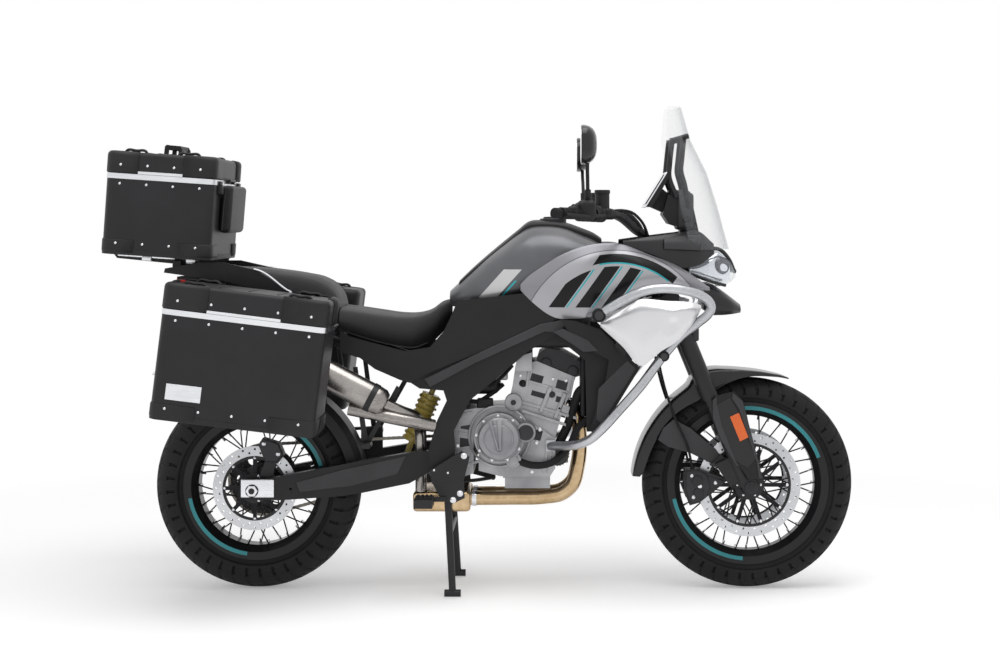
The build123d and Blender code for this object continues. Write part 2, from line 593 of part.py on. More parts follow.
SCREEN_WALL = 3.0
SCREEN = [(1060, 768, 640, 150), (1200, 730, 606, 150), (1300, 698, 590, 138), (1400, 648, 566, 120),
          (1504, 618, 572, 84)]
with BuildPart() as windscreen:
    sections = []
    for z, crown, edge, half in SCREEN:
        with BuildSketch(Plane.XY.offset(z)) as section:
            with BuildLine():
                ThreePointArc((edge, -half), (crown, 0), (edge, half))
                Line((edge, half), (edge - SCREEN_WALL, half - 1))
                ThreePointArc((edge - SCREEN_WALL, half - 1), (crown - SCREEN_WALL, 0),
                              (edge - SCREEN_WALL, 1 - half))
                Line((edge - SCREEN_WALL, 1 - half), (edge, -half))
            make_face()
        sections.append(section.sketch)
    loft(sections=sections, ruled=True)
save(windscreen, "windscreen")

with BuildPart() as screen_frame:
    tube([(636, -75, 1180), (612, -75, 1324), (590, -75, 1400), (590, 75, 1400), (612, 75, 1324),
          (636, 75, 1180)], 5, 22)
save(screen_frame, "screen_frame")

CRASH_BAR = [(326, -SPAR_OUTER, 862), (326, -178, 862), (338, -215, 850), (354, -262, 868),
             (474, -285, 938), (563, -285, 949),
             (655, -272, 930), (694, -246, 895), (664, -214, 850), (600, -206, 800),
             (547, -214, 741), (475, -238, 648), (355, -240, 514), (290, -190, 470),
             (205, -112, 455)]
with BuildPart() as crash_bars:
    tube(CRASH_BAR, CRASH_TUBE_RADIUS, 12)
    tube(mirrored(CRASH_BAR), CRASH_TUBE_RADIUS, 12)
    pair([(194, 440), (221, 440), (221, 474), (194, 474)], 120, CASE_HALF)
    slab([(150, 400), (260, 400), (260, 500), (150, 500)], CASE_HALF, -CASE_HALF, Mode.SUBTRACT)
save(crash_bars, "crash_bars")

# ---------------------------------------------------------------- rack, tail and foot rests
RACK = [(-972, 1003), (-870, 1021), (-793, 1021), (-692, 998), (-581, 926), (-630, 924), (-803, 967),
        (-855, 973), (-975, 990)]
with BuildPart() as rear_rack:
    pair(RACK, 148, 136)
    pair([(-600, 926), (-572, 926), (-572, 831), (-600, 831)], 148, 136)
    pair([(-832, 968), (-800, 968), (-800, 904), (-832, 908)], 148, 136)
    for spot in ((-586, 843), (-815, 917)):
        drums(spot, 8, 136, RAIL_Y + RAIL_RADIUS)
    slab([(-950, 996), (-925, 998), (-925, 1024), (-950, 1026)], 142, -142)
    slab([(-875, 1000), (-850, 1000), (-850, 1020), (-875, 1020)], 142, -142)
    slab([(-1140, 1050.4), (-1128, 1034), (-960, 1017), (-830, 1014), (-822, 1028.9)], 110, -110)
save(rear_rack, "rear_rack")

with BuildPart() as tail_unit:
    slab([(-812, 931.3), (-940, 940), (-955, 975), (-830, 985), (-812, 975)], 60, -60)
    slab([(-905, 945), (-935, 700), (-915, 700), (-880, 945)], 20, -20)
    slab([(-921, 860), (-941, 660), (-935, 659), (-914, 860)], 90, -90)
    drums((-905, 900), 8, 130, 18)
    for y in (130, -130):
        rod((-925, y, 900), (-885, y, 900), 17)
save(tail_unit, "tail_unit")

PLATE_Y = 186.0
with BuildPart() as footrests:
    pair([(-160, 390), (-62, 451), (-38, 432), (-56, 359), (-53, 308), (-93, 289), (-129, 311),
          (-154, 359)], PLATE_Y + 6, PLATE_Y)
    drums((-110, 400), 10, PLATE_Y, SPAR_OUTER)
    pair([(-200, 292), (-145, 292), (-145, 318), (-200, 318)], 290, 200)
    pair([(-185, 298), (-110, 298), (-110, 312), (-185, 312)], 200, PLATE_Y + 6)
save(footrests, "footrests")

with BuildPart() as side_stand:
    drum(SIDE_STAND_PIVOT, 13, SIDE_STAND_Y + 8.5, SIDE_STAND_Y - 17.5)
    rod((SIDE_STAND_PIVOT[0] - 6, SIDE_STAND_Y, SIDE_STAND_PIVOT[1]), (-250, SIDE_STAND_Y, 352), 9)
    slab([(-240, 340), (-290, 342), (-290, 356), (-240, 362)], SIDE_STAND_Y + 24, SIDE_STAND_Y - 8)
    drum(SIDE_STAND_PIVOT, SIDE_STAND_PIN + SHAFT_CLEARANCE, 180, 140, mode=Mode.SUBTRACT)
save(side_stand, "side_stand")

STAND_FOOT = (-92.0, 12.0)
STAND_FOOT_Y = 150.0
with BuildPart() as centre_stand:
    for side in (1, -1):
        drum(STAND_PIVOT, 15, 132 if side > 0 else -110, 110 if side > 0 else -132)
        rod((STAND_PIVOT[0], side * 121, STAND_PIVOT[1] - 10), (STAND_FOOT[0], side * STAND_FOOT_Y, STAND_FOOT[1]), 11)
        rod((STAND_FOOT[0] - 25, side * STAND_FOOT_Y, 11), (STAND_FOOT[0] + 25, side * STAND_FOOT_Y, 11), 11)
    rod((-103, -140, 190), (-103, 140, 190), 10)
    drum(STAND_PIVOT, STAND_PIVOT_RADIUS + SHAFT_CLEARANCE, 140, -140, mode=Mode.SUBTRACT)
save(centre_stand, "centre_stand")

# ---------------------------------------------------------------- steering
LOWER_CLAMP, UPPER_CLAMP, FORK_TOP, OUTER_TUBE_END = 625.0, 796.0, 824.0, 300.0
CLAMP_THICKNESS = 22.0
FIT = 0.05
with BuildPart() as fork:
    for side in (1, -1):
        y = side * FORK_SPREAD
        rod(steer(FORK_OFFSET, y, OUTER_TUBE_END), steer(FORK_OFFSET, y, FORK_TOP), OUTER_TUBE_RADIUS)
        rod(steer(FORK_OFFSET, y, 10), steer(FORK_OFFSET, y, OUTER_TUBE_END), INNER_TUBE_RADIUS)
        drum(FRONT_AXLE, 25, y + 23, y - 21)
        slab([(715, 400), (760, 420), (795, 370), (790, 345), (760, 330)], y + 12, y - 12)
    drum(FRONT_AXLE, FRONT_AXLE_RADIUS, FORK_SPREAD + 30, -FORK_SPREAD - 30)
save(fork, "fork")

with BuildPart() as triple_clamps:
    for up in (LOWER_CLAMP, UPPER_CLAMP):
        with BuildSketch(steer_plane(up)) as plate:
            with BuildLine():
                Polyline((-28, -40), (-2, -138), (60, -138), (60, -74), (50, -60), (50, 60),
                         (60, 74), (60, 138), (-2, 138), (-28, 40), close=True)
            make_face()
            with Locations((FORK_OFFSET, FORK_SPREAD), (FORK_OFFSET, -FORK_SPREAD)):
                Circle(OUTER_TUBE_RADIUS + FIT, mode=Mode.SUBTRACT)
        extrude(plate.sketch, amount=CLAMP_THICKNESS)
    rod(steer(0, 0, LOWER_CLAMP), steer(0, 0, UPPER_CLAMP + CLAMP_THICKNESS), STEM_RADIUS)
    for y in (46, -46):
        rod(steer(34, y, UPPER_CLAMP + 4), steer(34, y, UPPER_CLAMP + 60), 14)
    BAR_CENTRE = steer(34, 0, UPPER_CLAMP + 44)
    drum((BAR_CENTRE[0], BAR_CENTRE[2]), BAR_RADIUS + FIT, 70, -70, mode=Mode.SUBTRACT)
save(triple_clamps, "triple_clamps")

BAR = [(BAR_CENTRE[0], -100, BAR_CENTRE[2]), (412, -210, 1168), (262, -425, 1186)]
BAR_PATH = list(reversed(BAR)) + mirrored(BAR)
GRIP_RADIUS = 17.0


def on_bar(share):
    """A point on the straight outer run of the right bar, from its bend (0) to its tip (1)."""
    (ax, ay, az), (bx, by, bz) = BAR[1], BAR[2]
    return (ax + (bx - ax) * share, ay + (by - ay) * share, az + (bz - az) * share)


with BuildPart() as handlebar:
    tube(BAR_PATH, BAR_RADIUS, 45)
save(handlebar, "handlebar")

with BuildPart() as bar_controls:
    for flip in (False, True):
        run = [on_bar(0.14), on_bar(0.40)]
        lever = [(392, -245, 1178), (372, -300, 1176), (330, -400, 1180)]
        pot = [(374, -268, 1192), (356, -268, 1236)]
        stalk = [on_bar(0.3), (322, -300, 1224), (328, -350, 1300), (336, -390, 1346)]
        grip = [on_bar(0.42), on_bar(1.02)]
        for group in (run, lever, pot, stalk, grip):
            group[:] = mirrored(group) if flip else group
        rod(*grip, GRIP_RADIUS)
        rod(*run, 20)
        rod(lever[0], lever[1], 8)
        rod(lever[1], lever[2], 6)
        rod(*pot, 18)
        rod(run[0], pot[0], 9)
        rod(run[0], lever[0], 9)
        rod(stalk[0], stalk[1], 6)
        rod(stalk[1], stalk[2], 5)
        rod(stalk[2], stalk[3], 5)
        with Locations(stalk[3]):
            Sphere(9)
    with BuildLine() as path:
        FilletPolyline(*BAR_PATH, radius=45)
    with BuildSketch(Plane(path.line @ 0, z_dir=path.line % 0)) as face:
        Circle(BAR_RADIUS + FIT)
    sweep(sections=face.sketch, path=path.line, mode=Mode.SUBTRACT)
save(bar_controls, "bar_controls")

with BuildPart() as mirrors:
    for side in (1, -1):
        with BuildSketch(Plane((330, side * 398, 1366), x_dir=(0, 1, 0), z_dir=(-1, 0, 0.2))) as face:
            RectangleRounded(150, 104, 40)
        extrude(face.sketch, amount=28)
save(mirrors, "mirrors")

FENDER_GAP, FENDER_HALF = 13.0, 68.0
with BuildPart() as front_fender:
    r = FRONT_TYRE_RADIUS + FENDER_GAP
    with BuildSketch(wheel_plane(FRONT_AXLE)) as section:
        with BuildLine():
            Polyline((-FENDER_HALF, r - 30), (-FENDER_HALF, r - 8), (-FENDER_HALF + 28, r + FAIRING_WALL),
                     (FENDER_HALF - 28, r + FAIRING_WALL), (FENDER_HALF, r - 8), (FENDER_HALF, r - 30),
                     (FENDER_HALF - FAIRING_WALL, r - 30), (FENDER_HALF - FAIRING_WALL, r - 10),
                     (FENDER_HALF - 29, r), (29 - FENDER_HALF, r), (FAIRING_WALL - FENDER_HALF, r - 10),
                     (FAIRING_WALL - FENDER_HALF, r - 30), close=True)
        make_face()
    revolve(section.sketch.rotate(spin_axis(FRONT_AXLE), -90), axis=spin_axis(FRONT_AXLE),
            revolution_arc=100)
    pair([(530, 462), (540, 500), (640, 444), (752, 412), (752, 388), (640, 415)], 80, 76)
    drums((548, 474), 10, 80, FENDER_HALF - 2)
    drums((742, 400), 8, FORK_SPREAD - 12, 78)
save(front_fender, "front_fender")

GUARD = [(713, 612), (769, 626), (797, 597), (858, 357), (815, 357), (729, 474), (704, 542), (701, 582)]
with BuildPart() as fork_guards:
    pair(GUARD, FORK_SPREAD + 35, FORK_SPREAD + 31)
    for spot in ((768, 440), (712, 578)):
        drums(spot, 7, FORK_SPREAD + 31, FORK_SPREAD + INNER_TUBE_RADIUS)
save(fork_guards, "fork_guards")

CALIPER = [(745, 352), (672, 381), (622, 381), (618, 319), (637, 270), (668, 279), (745, 340)]
with BuildPart() as front_calipers:
    pair(CALIPER, 100, 48)
    for side in (1, -1):
        drum(FRONT_AXLE, FRONT_DISC_RADIUS + 3, side * FRONT_DISC_Y + DISC_THICKNESS / 2 + CALIPER_GAP,
             side * FRONT_DISC_Y - DISC_THICKNESS / 2 - CALIPER_GAP, mode=Mode.SUBTRACT)
save(front_calipers, "front_calipers")

# ---------------------------------------------------------------- luggage
HINGE_PIN_RADIUS, HINGE_REACH, KNUCKLE_RADIUS, HINGE_EAR = 4.0, 12.0, 8.0, 10.0


def luggage(name, corner, degrees, y_middle, length, width, height, lid_height, rounding):
    """A hollow box, open at its seam, and the lid that closes it, hinged at the front."""
    def plane(up):
        return box_plane(corner, degrees, y_middle, length, up)

    def box(low, high, inset, mode=Mode.ADD):
        with BuildSketch(plane(low)) as face:
            RectangleRounded(length - 2 * inset, width - 2 * inset, rounding - inset)
        extrude(face.sketch, amount=high - low, mode=mode)

    hinge = plane(0)
    pin_centre = hinge.from_local_coords((length / 2 + HINGE_REACH, 0, 0))
    spot = (pin_centre.X, pin_centre.Z)
    with BuildPart() as shell:
        box(-height, -CASE_SEAM, 0)
        box(-height + CASE_WALL, 0, CASE_WALL, Mode.SUBTRACT)
        for y in (y_middle + 45, y_middle - 40):
            with BuildSketch(plane(-HINGE_EAR)) as ear:
                with Locations((length / 2 + HINGE_REACH / 2, y - y_middle - 2.5)):
                    Rectangle(HINGE_REACH, 5)
            extrude(ear.sketch, amount=HINGE_EAR)
        drum(spot, HINGE_PIN_RADIUS, y_middle + 45, y_middle - 45)
    save(shell, f"{name}_shell")
    with BuildPart() as lid:
        box(0, lid_height, 0)
        box(0, lid_height - CASE_WALL, CASE_WALL, Mode.SUBTRACT)
        drum(spot, KNUCKLE_RADIUS, y_middle + 38, y_middle - 38)
        with BuildSketch(plane(2)) as strap:
            with Locations((length / 2 + HINGE_REACH / 2 - 1, 0)):
                Rectangle(HINGE_REACH, 76)
        extrude(strap.sketch, amount=14)
        drum(spot, HINGE_PIN_RADIUS + SHAFT_CLEARANCE, y_middle + 45, y_middle - 45,
             mode=Mode.SUBTRACT)
    save(lid, f"{name}_lid")
    return spot


TOP_SEAM = (-1135.85, 1296.0)
for side, word in ((1, "left"), (-1, "right")):
    HINGE = luggage(f"pannier_{word}", PANNIER_REAR_SEAM, PANNIER_TILT,
                    side * (PANNIER_INNER + PANNIER_WIDTH / 2), PANNIER_LENGTH, PANNIER_WIDTH,
                    PANNIER_HEIGHT, PANNIER_LID, PANNIER_CORNER)
    print("pannier hinge", HINGE)
print("top case hinge", luggage("top_case", TOP_SEAM, TOP_CASE_TILT, 0, TOP_CASE_LENGTH,
                                TOP_CASE_WIDTH, TOP_CASE_HEIGHT, TOP_CASE_LID, TOP_CASE_CORNER))

with BuildPart() as backrest:
    slab([(-805.85, 1262), (-767.85, 1252), (-765.85, 1236), (-777.85, 1112), (-816.45, 1106)], 120, -120)
save(backrest, "backrest")

box = Compound(children=list(BODIES.values())).bounding_box()
print("low", box.min, "high", box.max)
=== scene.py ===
"""Looks of an adventure motorcycle with hard luggage.

X forward, Y to the rider's left, Z up. Shapes are worked out in millimetres, and piece() turns them
into metres, which the materials and the studio use. A surface is a grid of points worked out as
whole arrays, from short tables of the sections that it passes through.
"""

import bpy
import numpy as np
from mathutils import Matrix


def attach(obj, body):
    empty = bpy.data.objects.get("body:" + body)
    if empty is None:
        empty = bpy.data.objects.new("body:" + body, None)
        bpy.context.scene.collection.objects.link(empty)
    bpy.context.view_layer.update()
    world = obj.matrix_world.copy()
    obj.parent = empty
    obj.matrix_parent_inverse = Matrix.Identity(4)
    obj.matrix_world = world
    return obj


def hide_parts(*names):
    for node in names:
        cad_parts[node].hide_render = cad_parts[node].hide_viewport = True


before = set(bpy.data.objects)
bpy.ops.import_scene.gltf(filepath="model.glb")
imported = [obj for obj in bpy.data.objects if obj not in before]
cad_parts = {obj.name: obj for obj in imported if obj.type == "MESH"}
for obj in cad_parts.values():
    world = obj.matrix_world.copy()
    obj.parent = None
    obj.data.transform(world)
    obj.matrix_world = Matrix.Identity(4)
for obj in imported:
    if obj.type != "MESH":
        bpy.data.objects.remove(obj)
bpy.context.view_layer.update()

TURN = 2 * np.pi
ORIGIN, AHEAD, LEFT, RIGHT, UPWARD = (0, 0, 0), (1, 0, 0), (0, 1, 0), (0, -1, 0), (0, 0, 1)
MIRRORED = (1, -1, 1)  # what a point is multiplied by to cross the middle plane
REAR_AXLE = np.array([-707.5, 0.0, 321.0])
FRONT_AXLE = np.array([823.5, 0.0, 329.0])


# ---------------------------------------------------------------- node helpers
def feed(tree, socket, value):
    """Gives an input a number, a colour or another node's output socket."""
    if isinstance(value, bpy.types.NodeSocket):
        tree.links.new(value, socket)
    else:
        socket.default_value = value


def add(tree, kind, *ordered, settings=None, **named):
    """Adds a shader node, its inputs fed in order or by name."""
    made = tree.nodes.new("ShaderNode" + kind)
    for key, value in (settings or {}).items():
        setattr(made, key, value)
    for key, value in [*enumerate(ordered), *named.items()]:
        feed(tree, made.inputs[key if isinstance(key, int) else key.replace("_", " ")], value)
    return made


def maths(tree, operation, *values):
    return add(tree, "Math", *values, settings={"operation": operation}).outputs[0]


def vectors(tree, operation, *values):
    return add(tree, "VectorMath", *values, settings={"operation": operation}).outputs


def tint(tree, factor, first, second):
    """Colour that goes from the first to the second as the factor goes from 0 to 1."""
    made = add(tree, "Mix", settings={"data_type": "RGBA"})
    for index, value in ((0, factor), (6, first), (7, second)):
        feed(tree, made.inputs[index], value)
    return made.outputs[2]


def node_group(name, inputs, outputs):
    """An empty shader group with named sockets: its tree, input node and output node."""
    tree = bpy.data.node_groups.new(name, "ShaderNodeTree")
    for kinds, way in ((inputs, "INPUT"), (outputs, "OUTPUT")):
        for label, kind in kinds.items():
            tree.interface.new_socket(label, in_out=way, socket_type="NodeSocket" + kind)
    return tree, tree.nodes.new("NodeGroupInput").outputs, tree.nodes.new("NodeGroupOutput").inputs


def surface_group(name, **own):
    """A group that gives a surface's colour, roughness and normal, with inputs of its own too."""
    shared = {"Position": "Vector", "Colour": "Color", "Shade": "Color", "Roughness": "Float",
              "Relief": "Float"}
    return node_group(name, {**shared, **own},
                      {"Colour": "Color", "Roughness": "Float", "Normal": "Vector"})


def give_surface(tree, given, gives, share, swing, spread, height):
    """Colour goes to its shade by a share, roughness moves by a swing, and height makes relief."""
    relief = add(tree, "Bump", Height=height, Distance=given["Relief"], Strength=1.0)
    tree.links.new(tint(tree, share, given["Colour"], given["Shade"]), gives["Colour"])
    tree.links.new(maths(tree, "MULTIPLY_ADD", swing, spread, given["Roughness"]), gives["Roughness"])
    tree.links.new(relief.outputs[0], gives["Normal"])


def make_mottle():
    """Colour drifts to a shade over broad patches; gloss and relief follow fine grain."""
    tree, given, gives = surface_group("mottle", Grain="Float", Spread="Float")
    broad = add(tree, "TexNoise", Vector=given["Position"], Scale=7.0, Detail=3.0).outputs[0]
    fine = add(tree, "TexNoise", Vector=given["Position"], Scale=given["Grain"], Detail=2.0).outputs[0]
    mixed = maths(tree, "MULTIPLY_ADD", fine, 0.5, broad)
    share = add(tree, "MapRange", Value=mixed, From_Min=0.55, From_Max=0.95).outputs[0]
    give_surface(tree, given, gives, share, maths(tree, "SUBTRACT", fine, 0.5), given["Spread"], fine)
    return tree


def make_brushing():
    """Fine scratches: noise drawn out along one direction shades colour, gloss and relief."""
    tree, given, gives = surface_group("brushing", Stretch="Vector")
    drawn = vectors(tree, "MULTIPLY", given["Position"], given["Stretch"])[0]
    lines = add(tree, "TexNoise", Vector=drawn, Scale=1.0, Detail=4.0).outputs[0]
    broad = add(tree, "TexNoise", Vector=given["Position"], Scale=5.0, Detail=2.0).outputs[0]
    mixed = maths(tree, "MULTIPLY", lines, broad)
    share = add(tree, "MapRange", Value=mixed, From_Min=0.15, From_Max=0.4).outputs[0]
    give_surface(tree, given, gives, share, lines, 0.12, lines)
    return tree


def make_pebble():
    """Vinyl skin: rounded cells with creases between them, over a soft drift of shade."""
    tree, given, gives = surface_group("pebble", Cells="Float")
    cells = add(tree, "TexVoronoi", Vector=given["Position"], Scale=given["Cells"],
                settings={"feature": "DISTANCE_TO_EDGE"}).outputs[0]
    crown = add(tree, "MapRange", Value=cells, From_Min=0.0, From_Max=0.25).outputs[0]
    broad = add(tree, "TexNoise", Vector=given["Position"], Scale=9.0, Detail=3.0).outputs[0]
    give_surface(tree, given, gives, broad, crown, -0.1, crown)
    return tree


def make_band(name, where, distance):
    """Mask of a band: 1 where a distance lies between two ends."""
    tree, given, gives = node_group(
        name, {"Position": "Vector", where: "Vector", "Start": "Float", "End": "Float"},
        {"Mask": "Float"})
    far = distance(tree, given["Position"], given[where])
    after = maths(tree, "GREATER_THAN", far, given["Start"])
    before = maths(tree, "LESS_THAN", far, given["End"])
    tree.links.new(maths(tree, "MULTIPLY", after, before), gives["Mask"])
    return tree


def along_direction(tree, position, direction):
    return vectors(tree, "DOT_PRODUCT", position, direction)["Value"]


def from_point(tree, position, centre):
    """Distance from a point in the side view."""
    flat = vectors(tree, "MULTIPLY", position, (1, 0, 1))[0]
    return vectors(tree, "DISTANCE", flat, centre)["Value"]


MOTTLE, BRUSHING, PEBBLE = make_mottle(), make_brushing(), make_pebble()
STRIPE = make_band("slanted_band", "Direction", along_direction)
RING = make_band("ring_band", "Centre", from_point)


def use(tree, shared, **values):
    """Places a shared group in a material with its own values."""
    made = tree.nodes.new("ShaderNodeGroup")
    made.node_tree = shared
    for label, value in values.items():
        feed(tree, made.inputs[label], value)
    return made.outputs


def blank(name, **plain):
    """A new material with plain shader values: it, its tree, its shader and the place shaded."""
    made = bpy.data.materials.new(name)
    made.use_nodes = True
    tree = made.node_tree
    shader = tree.nodes["Principled BSDF"]
    for label, value in plain.items():
        shader.inputs[label.replace("_", " ")].default_value = value
    return made, tree, shader, add(tree, "TexCoord").outputs["Object"]


def join_up(tree, shader, found, colour=None):
    """Feeds a shader from a surface group, or takes only its colour from elsewhere."""
    tree.links.new(found["Colour"] if colour is None else colour, shader.inputs["Base Color"])
    for label in ("Roughness", "Normal"):
        tree.links.new(found[label], shader.inputs[label])


def rgb(red, green, blue):
    return (red, green, blue, 1.0)


# ---------------------------------------------------------------- finishes
def mottled(name, colour, shade, grain, roughness, spread, relief, metal, coat, glint):
    made, tree, shader, position = blank(name, Metallic=metal, Coat_Weight=coat, Coat_Roughness=0.12,
                                         Specular_IOR_Level=glint)
    join_up(tree, shader, use(tree, MOTTLE, Position=position, Colour=rgb(*colour), Shade=rgb(*shade),
                              Grain=grain, Roughness=roughness, Spread=spread, Relief=relief))
    return made


def brushed(name, colour, shade, stretch, roughness, relief):
    made, tree, shader, position = blank(name, Metallic=1.0)
    join_up(tree, shader, use(tree, BRUSHING, Position=position, Stretch=stretch, Colour=rgb(*colour),
                              Shade=rgb(*shade), Roughness=roughness, Relief=relief))
    return made


def pebbled(name, colour, shade, cells, roughness, relief):
    made, tree, shader, position = blank(name, Specular_IOR_Level=0.3)
    join_up(tree, shader, use(tree, PEBBLE, Position=position, Colour=rgb(*colour), Shade=rgb(*shade),
                              Cells=cells, Roughness=roughness, Relief=relief))
    return made


def make_glass(name, colour, alpha, roughness):
    """Clear moulding: light passes straight on where it is seen square, less where seen edge-on."""
    made, tree, shader, position = blank(name, Base_Color=rgb(*colour), Coat_Weight=0.4)
    facing = add(tree, "LayerWeight", Blend=0.5).outputs["Facing"]
    edge_on = maths(tree, "MULTIPLY", maths(tree, "POWER", facing, 3.5), 0.75)
    tree.links.new(maths(tree, "ADD", edge_on, alpha), shader.inputs["Alpha"])
    haze = add(tree, "TexNoise", Vector=position, Scale=12.0, Detail=2.0).outputs[0]
    drift = add(tree, "MapRange", Value=haze, To_Min=roughness, To_Max=roughness * 2)
    tree.links.new(drift.outputs[0], shader.inputs["Roughness"])
    return made


def disc_faces(name, axle, carrier):
    """Brushed brake disc whose carrier, inside a radius in metres, is anodised black."""
    made, tree, shader, position = blank(name, Metallic=1.0)
    found = use(tree, BRUSHING, Position=position, Stretch=(900.0, 60.0, 900.0),
                Colour=rgb(.62, .63, .65), Shade=rgb(.45, .46, .48), Roughness=0.28, Relief=0.0001)
    inside = use(tree, RING, Position=position, Centre=tuple(axle / 1000), Start=0.0, End=carrier)
    join_up(tree, shader, found, tint(tree, inside["Mask"], found["Colour"], rgb(.02, .02, .022)))
    return made


def graphic(name, base, shade, layers, fade=None):
    """Painted panel: flake paint, faded to black along a direction, then each layer's colour where
    all of its bands meet. A band is a ring about a point or a strip across a direction."""
    made, tree, shader, position = blank(name, Metallic=0.4, Coat_Weight=0.12, Coat_Roughness=0.1,
                                         Specular_IOR_Level=0.25)
    found = use(tree, MOTTLE, Position=position, Colour=base, Shade=shade, Grain=2500.0,
                Roughness=0.33, Spread=0.1, Relief=0.00002)
    colour = found["Colour"]
    if fade:
        direction, dark, light = fade
        share = add(tree, "MapRange", Value=along_direction(tree, position, direction), From_Min=dark,
                    From_Max=light, settings={"interpolation_type": "SMOOTHSTEP"})
        colour = tint(tree, share.outputs[0], rgb(.008, .008, .009), colour)
    for paint, bands in layers:
        mask = None
        for shared, where, start, end in bands:
            label = "Centre" if shared is RING else "Direction"
            inside = use(tree, shared, Position=position, Start=start, End=end, **{label: where})["Mask"]
            mask = maths(tree, "MULTIPLY", mask, inside) if mask else inside
        colour = tint(tree, mask, colour, paint)
    join_up(tree, shader, found, colour)
    return made


MOTTLED = {  # colour, its shade, grain, roughness and its spread, relief, metal, coat, glint
    "rubber": ((.007, .007, .008), (.014, .014, .015), 900, .7, .3, .0003, 0, 0, .25),
    "rim_black": ((.007, .007, .008), (.011, .011, .012), 500, .3, .1, .00004, 0, .1, .25),
    "teal": ((.012, .2, .225), (.02, .27, .3), 300, .35, .1, .00003, 0, 0, .5),
    "black_steel": ((.01, .01, .011), (.018, .018, .02), 800, .42, .2, .0001, 0, 0, .35),
    "frame_black": ((.008, .008, .009), (.014, .014, .015), 1200, .42, .15, .00012, 0, .08, .25),
    "cast_silver": ((.42, .42, .43), (.22, .22, .235), 1100, .42, .25, .00045, .85, 0, .5),
    "cover_dark": ((.025, .025, .027), (.04, .04, .043), 1000, .4, .2, .00025, .5, 0, .35),
    "bright_metal": ((.78, .78, .8), (.66, .66, .69), 600, .18, .12, .00004, 1, 0, .5),
    "bronze_pipe": ((.42, .29, .15), (.6, .45, .28), 60, .2, .15, .00003, 1, 0, .5),
    "satin_plastic": ((.008, .008, .009), (.013, .013, .014), 1600, .45, .2, .0002, 0, 0, .28),
    "gloss_plastic": ((.007, .007, .008), (.011, .011, .012), 400, .25, .08, .00004, 0, .25, .3),
    "smoke_plastic": ((.03, .03, .032), (.042, .042, .045), 1500, .45, .2, .0002, 0, 0, .35),
    "grey_paint": ((.2, .205, .215), (.165, .17, .18), 2500, .34, .1, .00002, .55, .6, .5),
    "silver_paint": ((.62, .63, .65), (.52, .53, .55), 2500, .3, .12, .00002, .5, .6, .5),
    "white_paint": ((.76, .76, .77), (.68, .68, .7), 2500, .26, .1, .00002, .5, .5, .5),
    "dark_paint": ((.014, .014, .015), (.022, .022, .024), 2200, .34, .12, .00003, .2, .2, .3),
    "case_black": ((.022, .022, .023), (.028, .028, .03), 1800, .45, .2, .00022, .35, 0, .3),
    "cap_plastic": ((.014, .014, .015), (.02, .02, .021), 1500, .5, .2, .0003, 0, 0, .3),
    "spring_yellow": ((.62, .5, .1), (.5, .38, .07), 300, .35, .1, .00005, 0, .4, .5),
    "chain_steel": ((.3, .28, .24), (.14, .13, .12), 400, .35, .3, .0001, 1, 0, .5),
    "amber": ((.68, .09, .004), (.78, .14, .01), 200, .25, .1, .0001, 0, .25, .5),
    "red_lens": ((.45, .01, .01), (.6, .02, .015), 200, .2, .1, .0001, 0, .7, .5),
    "lamp_white": ((.8, .83, .88), (.7, .74, .8), 300, .12, .08, .00003, .6, .5, .5),
    "dark_glass": ((.01, .012, .03), (.02, .025, .05), 60, .05, .03, .000005, 0, .8, .5),
    "mirror_glass": ((.85, .86, .88), (.8, .81, .83), 40, .03, .01, .000005, 1, 0, .5),
    "radiator_core": ((.02, .02, .02), (.05, .05, .05), 700, .6, .2, .0015, 0, 0, .5),
}
BRUSHED = {  # colour, its shade, grain per metre along x, y and z, roughness, relief
    "brushed_rail": ((.56, .57, .59), (.34, .35, .37), (40, 700, 700), .24, .00006),
    "muffler_steel": ((.40, .38, .36), (.2, .18, .17), (60, 800, 800), .2, .00006),
    "case_trim": ((.82, .83, .85), (.66, .67, .7), (30, 30, 900), .22, .00004),
}
FINISH = {
    **{name: mottled(name, *numbers) for name, numbers in MOTTLED.items()},
    **{name: brushed(name, *numbers) for name, numbers in BRUSHED.items()},
    "vinyl": pebbled("vinyl", (.012, .012, .013), (.019, .019, .02), 620, .5, .0004),
    "screen_clear": make_glass("screen_clear", (.55, .58, .6), .05, .03),
    "lamp_clear": make_glass("lamp_clear", (.85, .9, .95), .12, .02),
    "front_disc_faces": disc_faces("front_disc_faces", FRONT_AXLE, 0.1215),
    "rear_disc_faces": disc_faces("rear_disc_faces", REAR_AXLE, 0.0915),
}

# graphics, in metres: the shroud's arches follow a ring, and its slanted bars end inside it
TEAL, BLACK, PALE = rgb(.03, .38, .43), rgb(.006, .006, .007), rgb(.6, .6, .6)
ARCH, LEAN, SLANT = (0.405, 0.0, 0.770), (0.815, 0.0, -0.579), (0.743, 0.0, -0.669)
BARS = [(-0.349, -0.310), (-0.283, -0.246), (-0.219, -0.188)]
INSIDE_ARCH = [(RING, ARCH, 0.0, 0.242), (STRIPE, UPWARD, 0.886, 1.1)]
shroud_layers = [(rgb(.26, .26, .28), [(RING, ARCH, 0.291, 0.4)]),
                 # the thin dark ring between the upper grey band and the rest is a painted shadow line
                 (rgb(.1, .1, .11), [(RING, ARCH, 0.2885, 0.291)]),
                 (BLACK, [(RING, ARCH, 0.254, 0.279), (STRIPE, LEAN, -0.315, -0.085)]),
                 (TEAL, [(RING, ARCH, 0.2495, 0.254), (STRIPE, LEAN, -0.30, -0.10)])]
for start, end in BARS:
    shroud_layers += [(BLACK, [(STRIPE, LEAN, start, end), *INSIDE_ARCH]),
                      (TEAL, [(STRIPE, LEAN, end + 0.003, end + 0.0075), *INSIDE_ARCH])]
FINISH["shroud_paint"] = graphic("shroud_paint", rgb(.43, .43, .45), rgb(.37, .37, .39), shroud_layers)
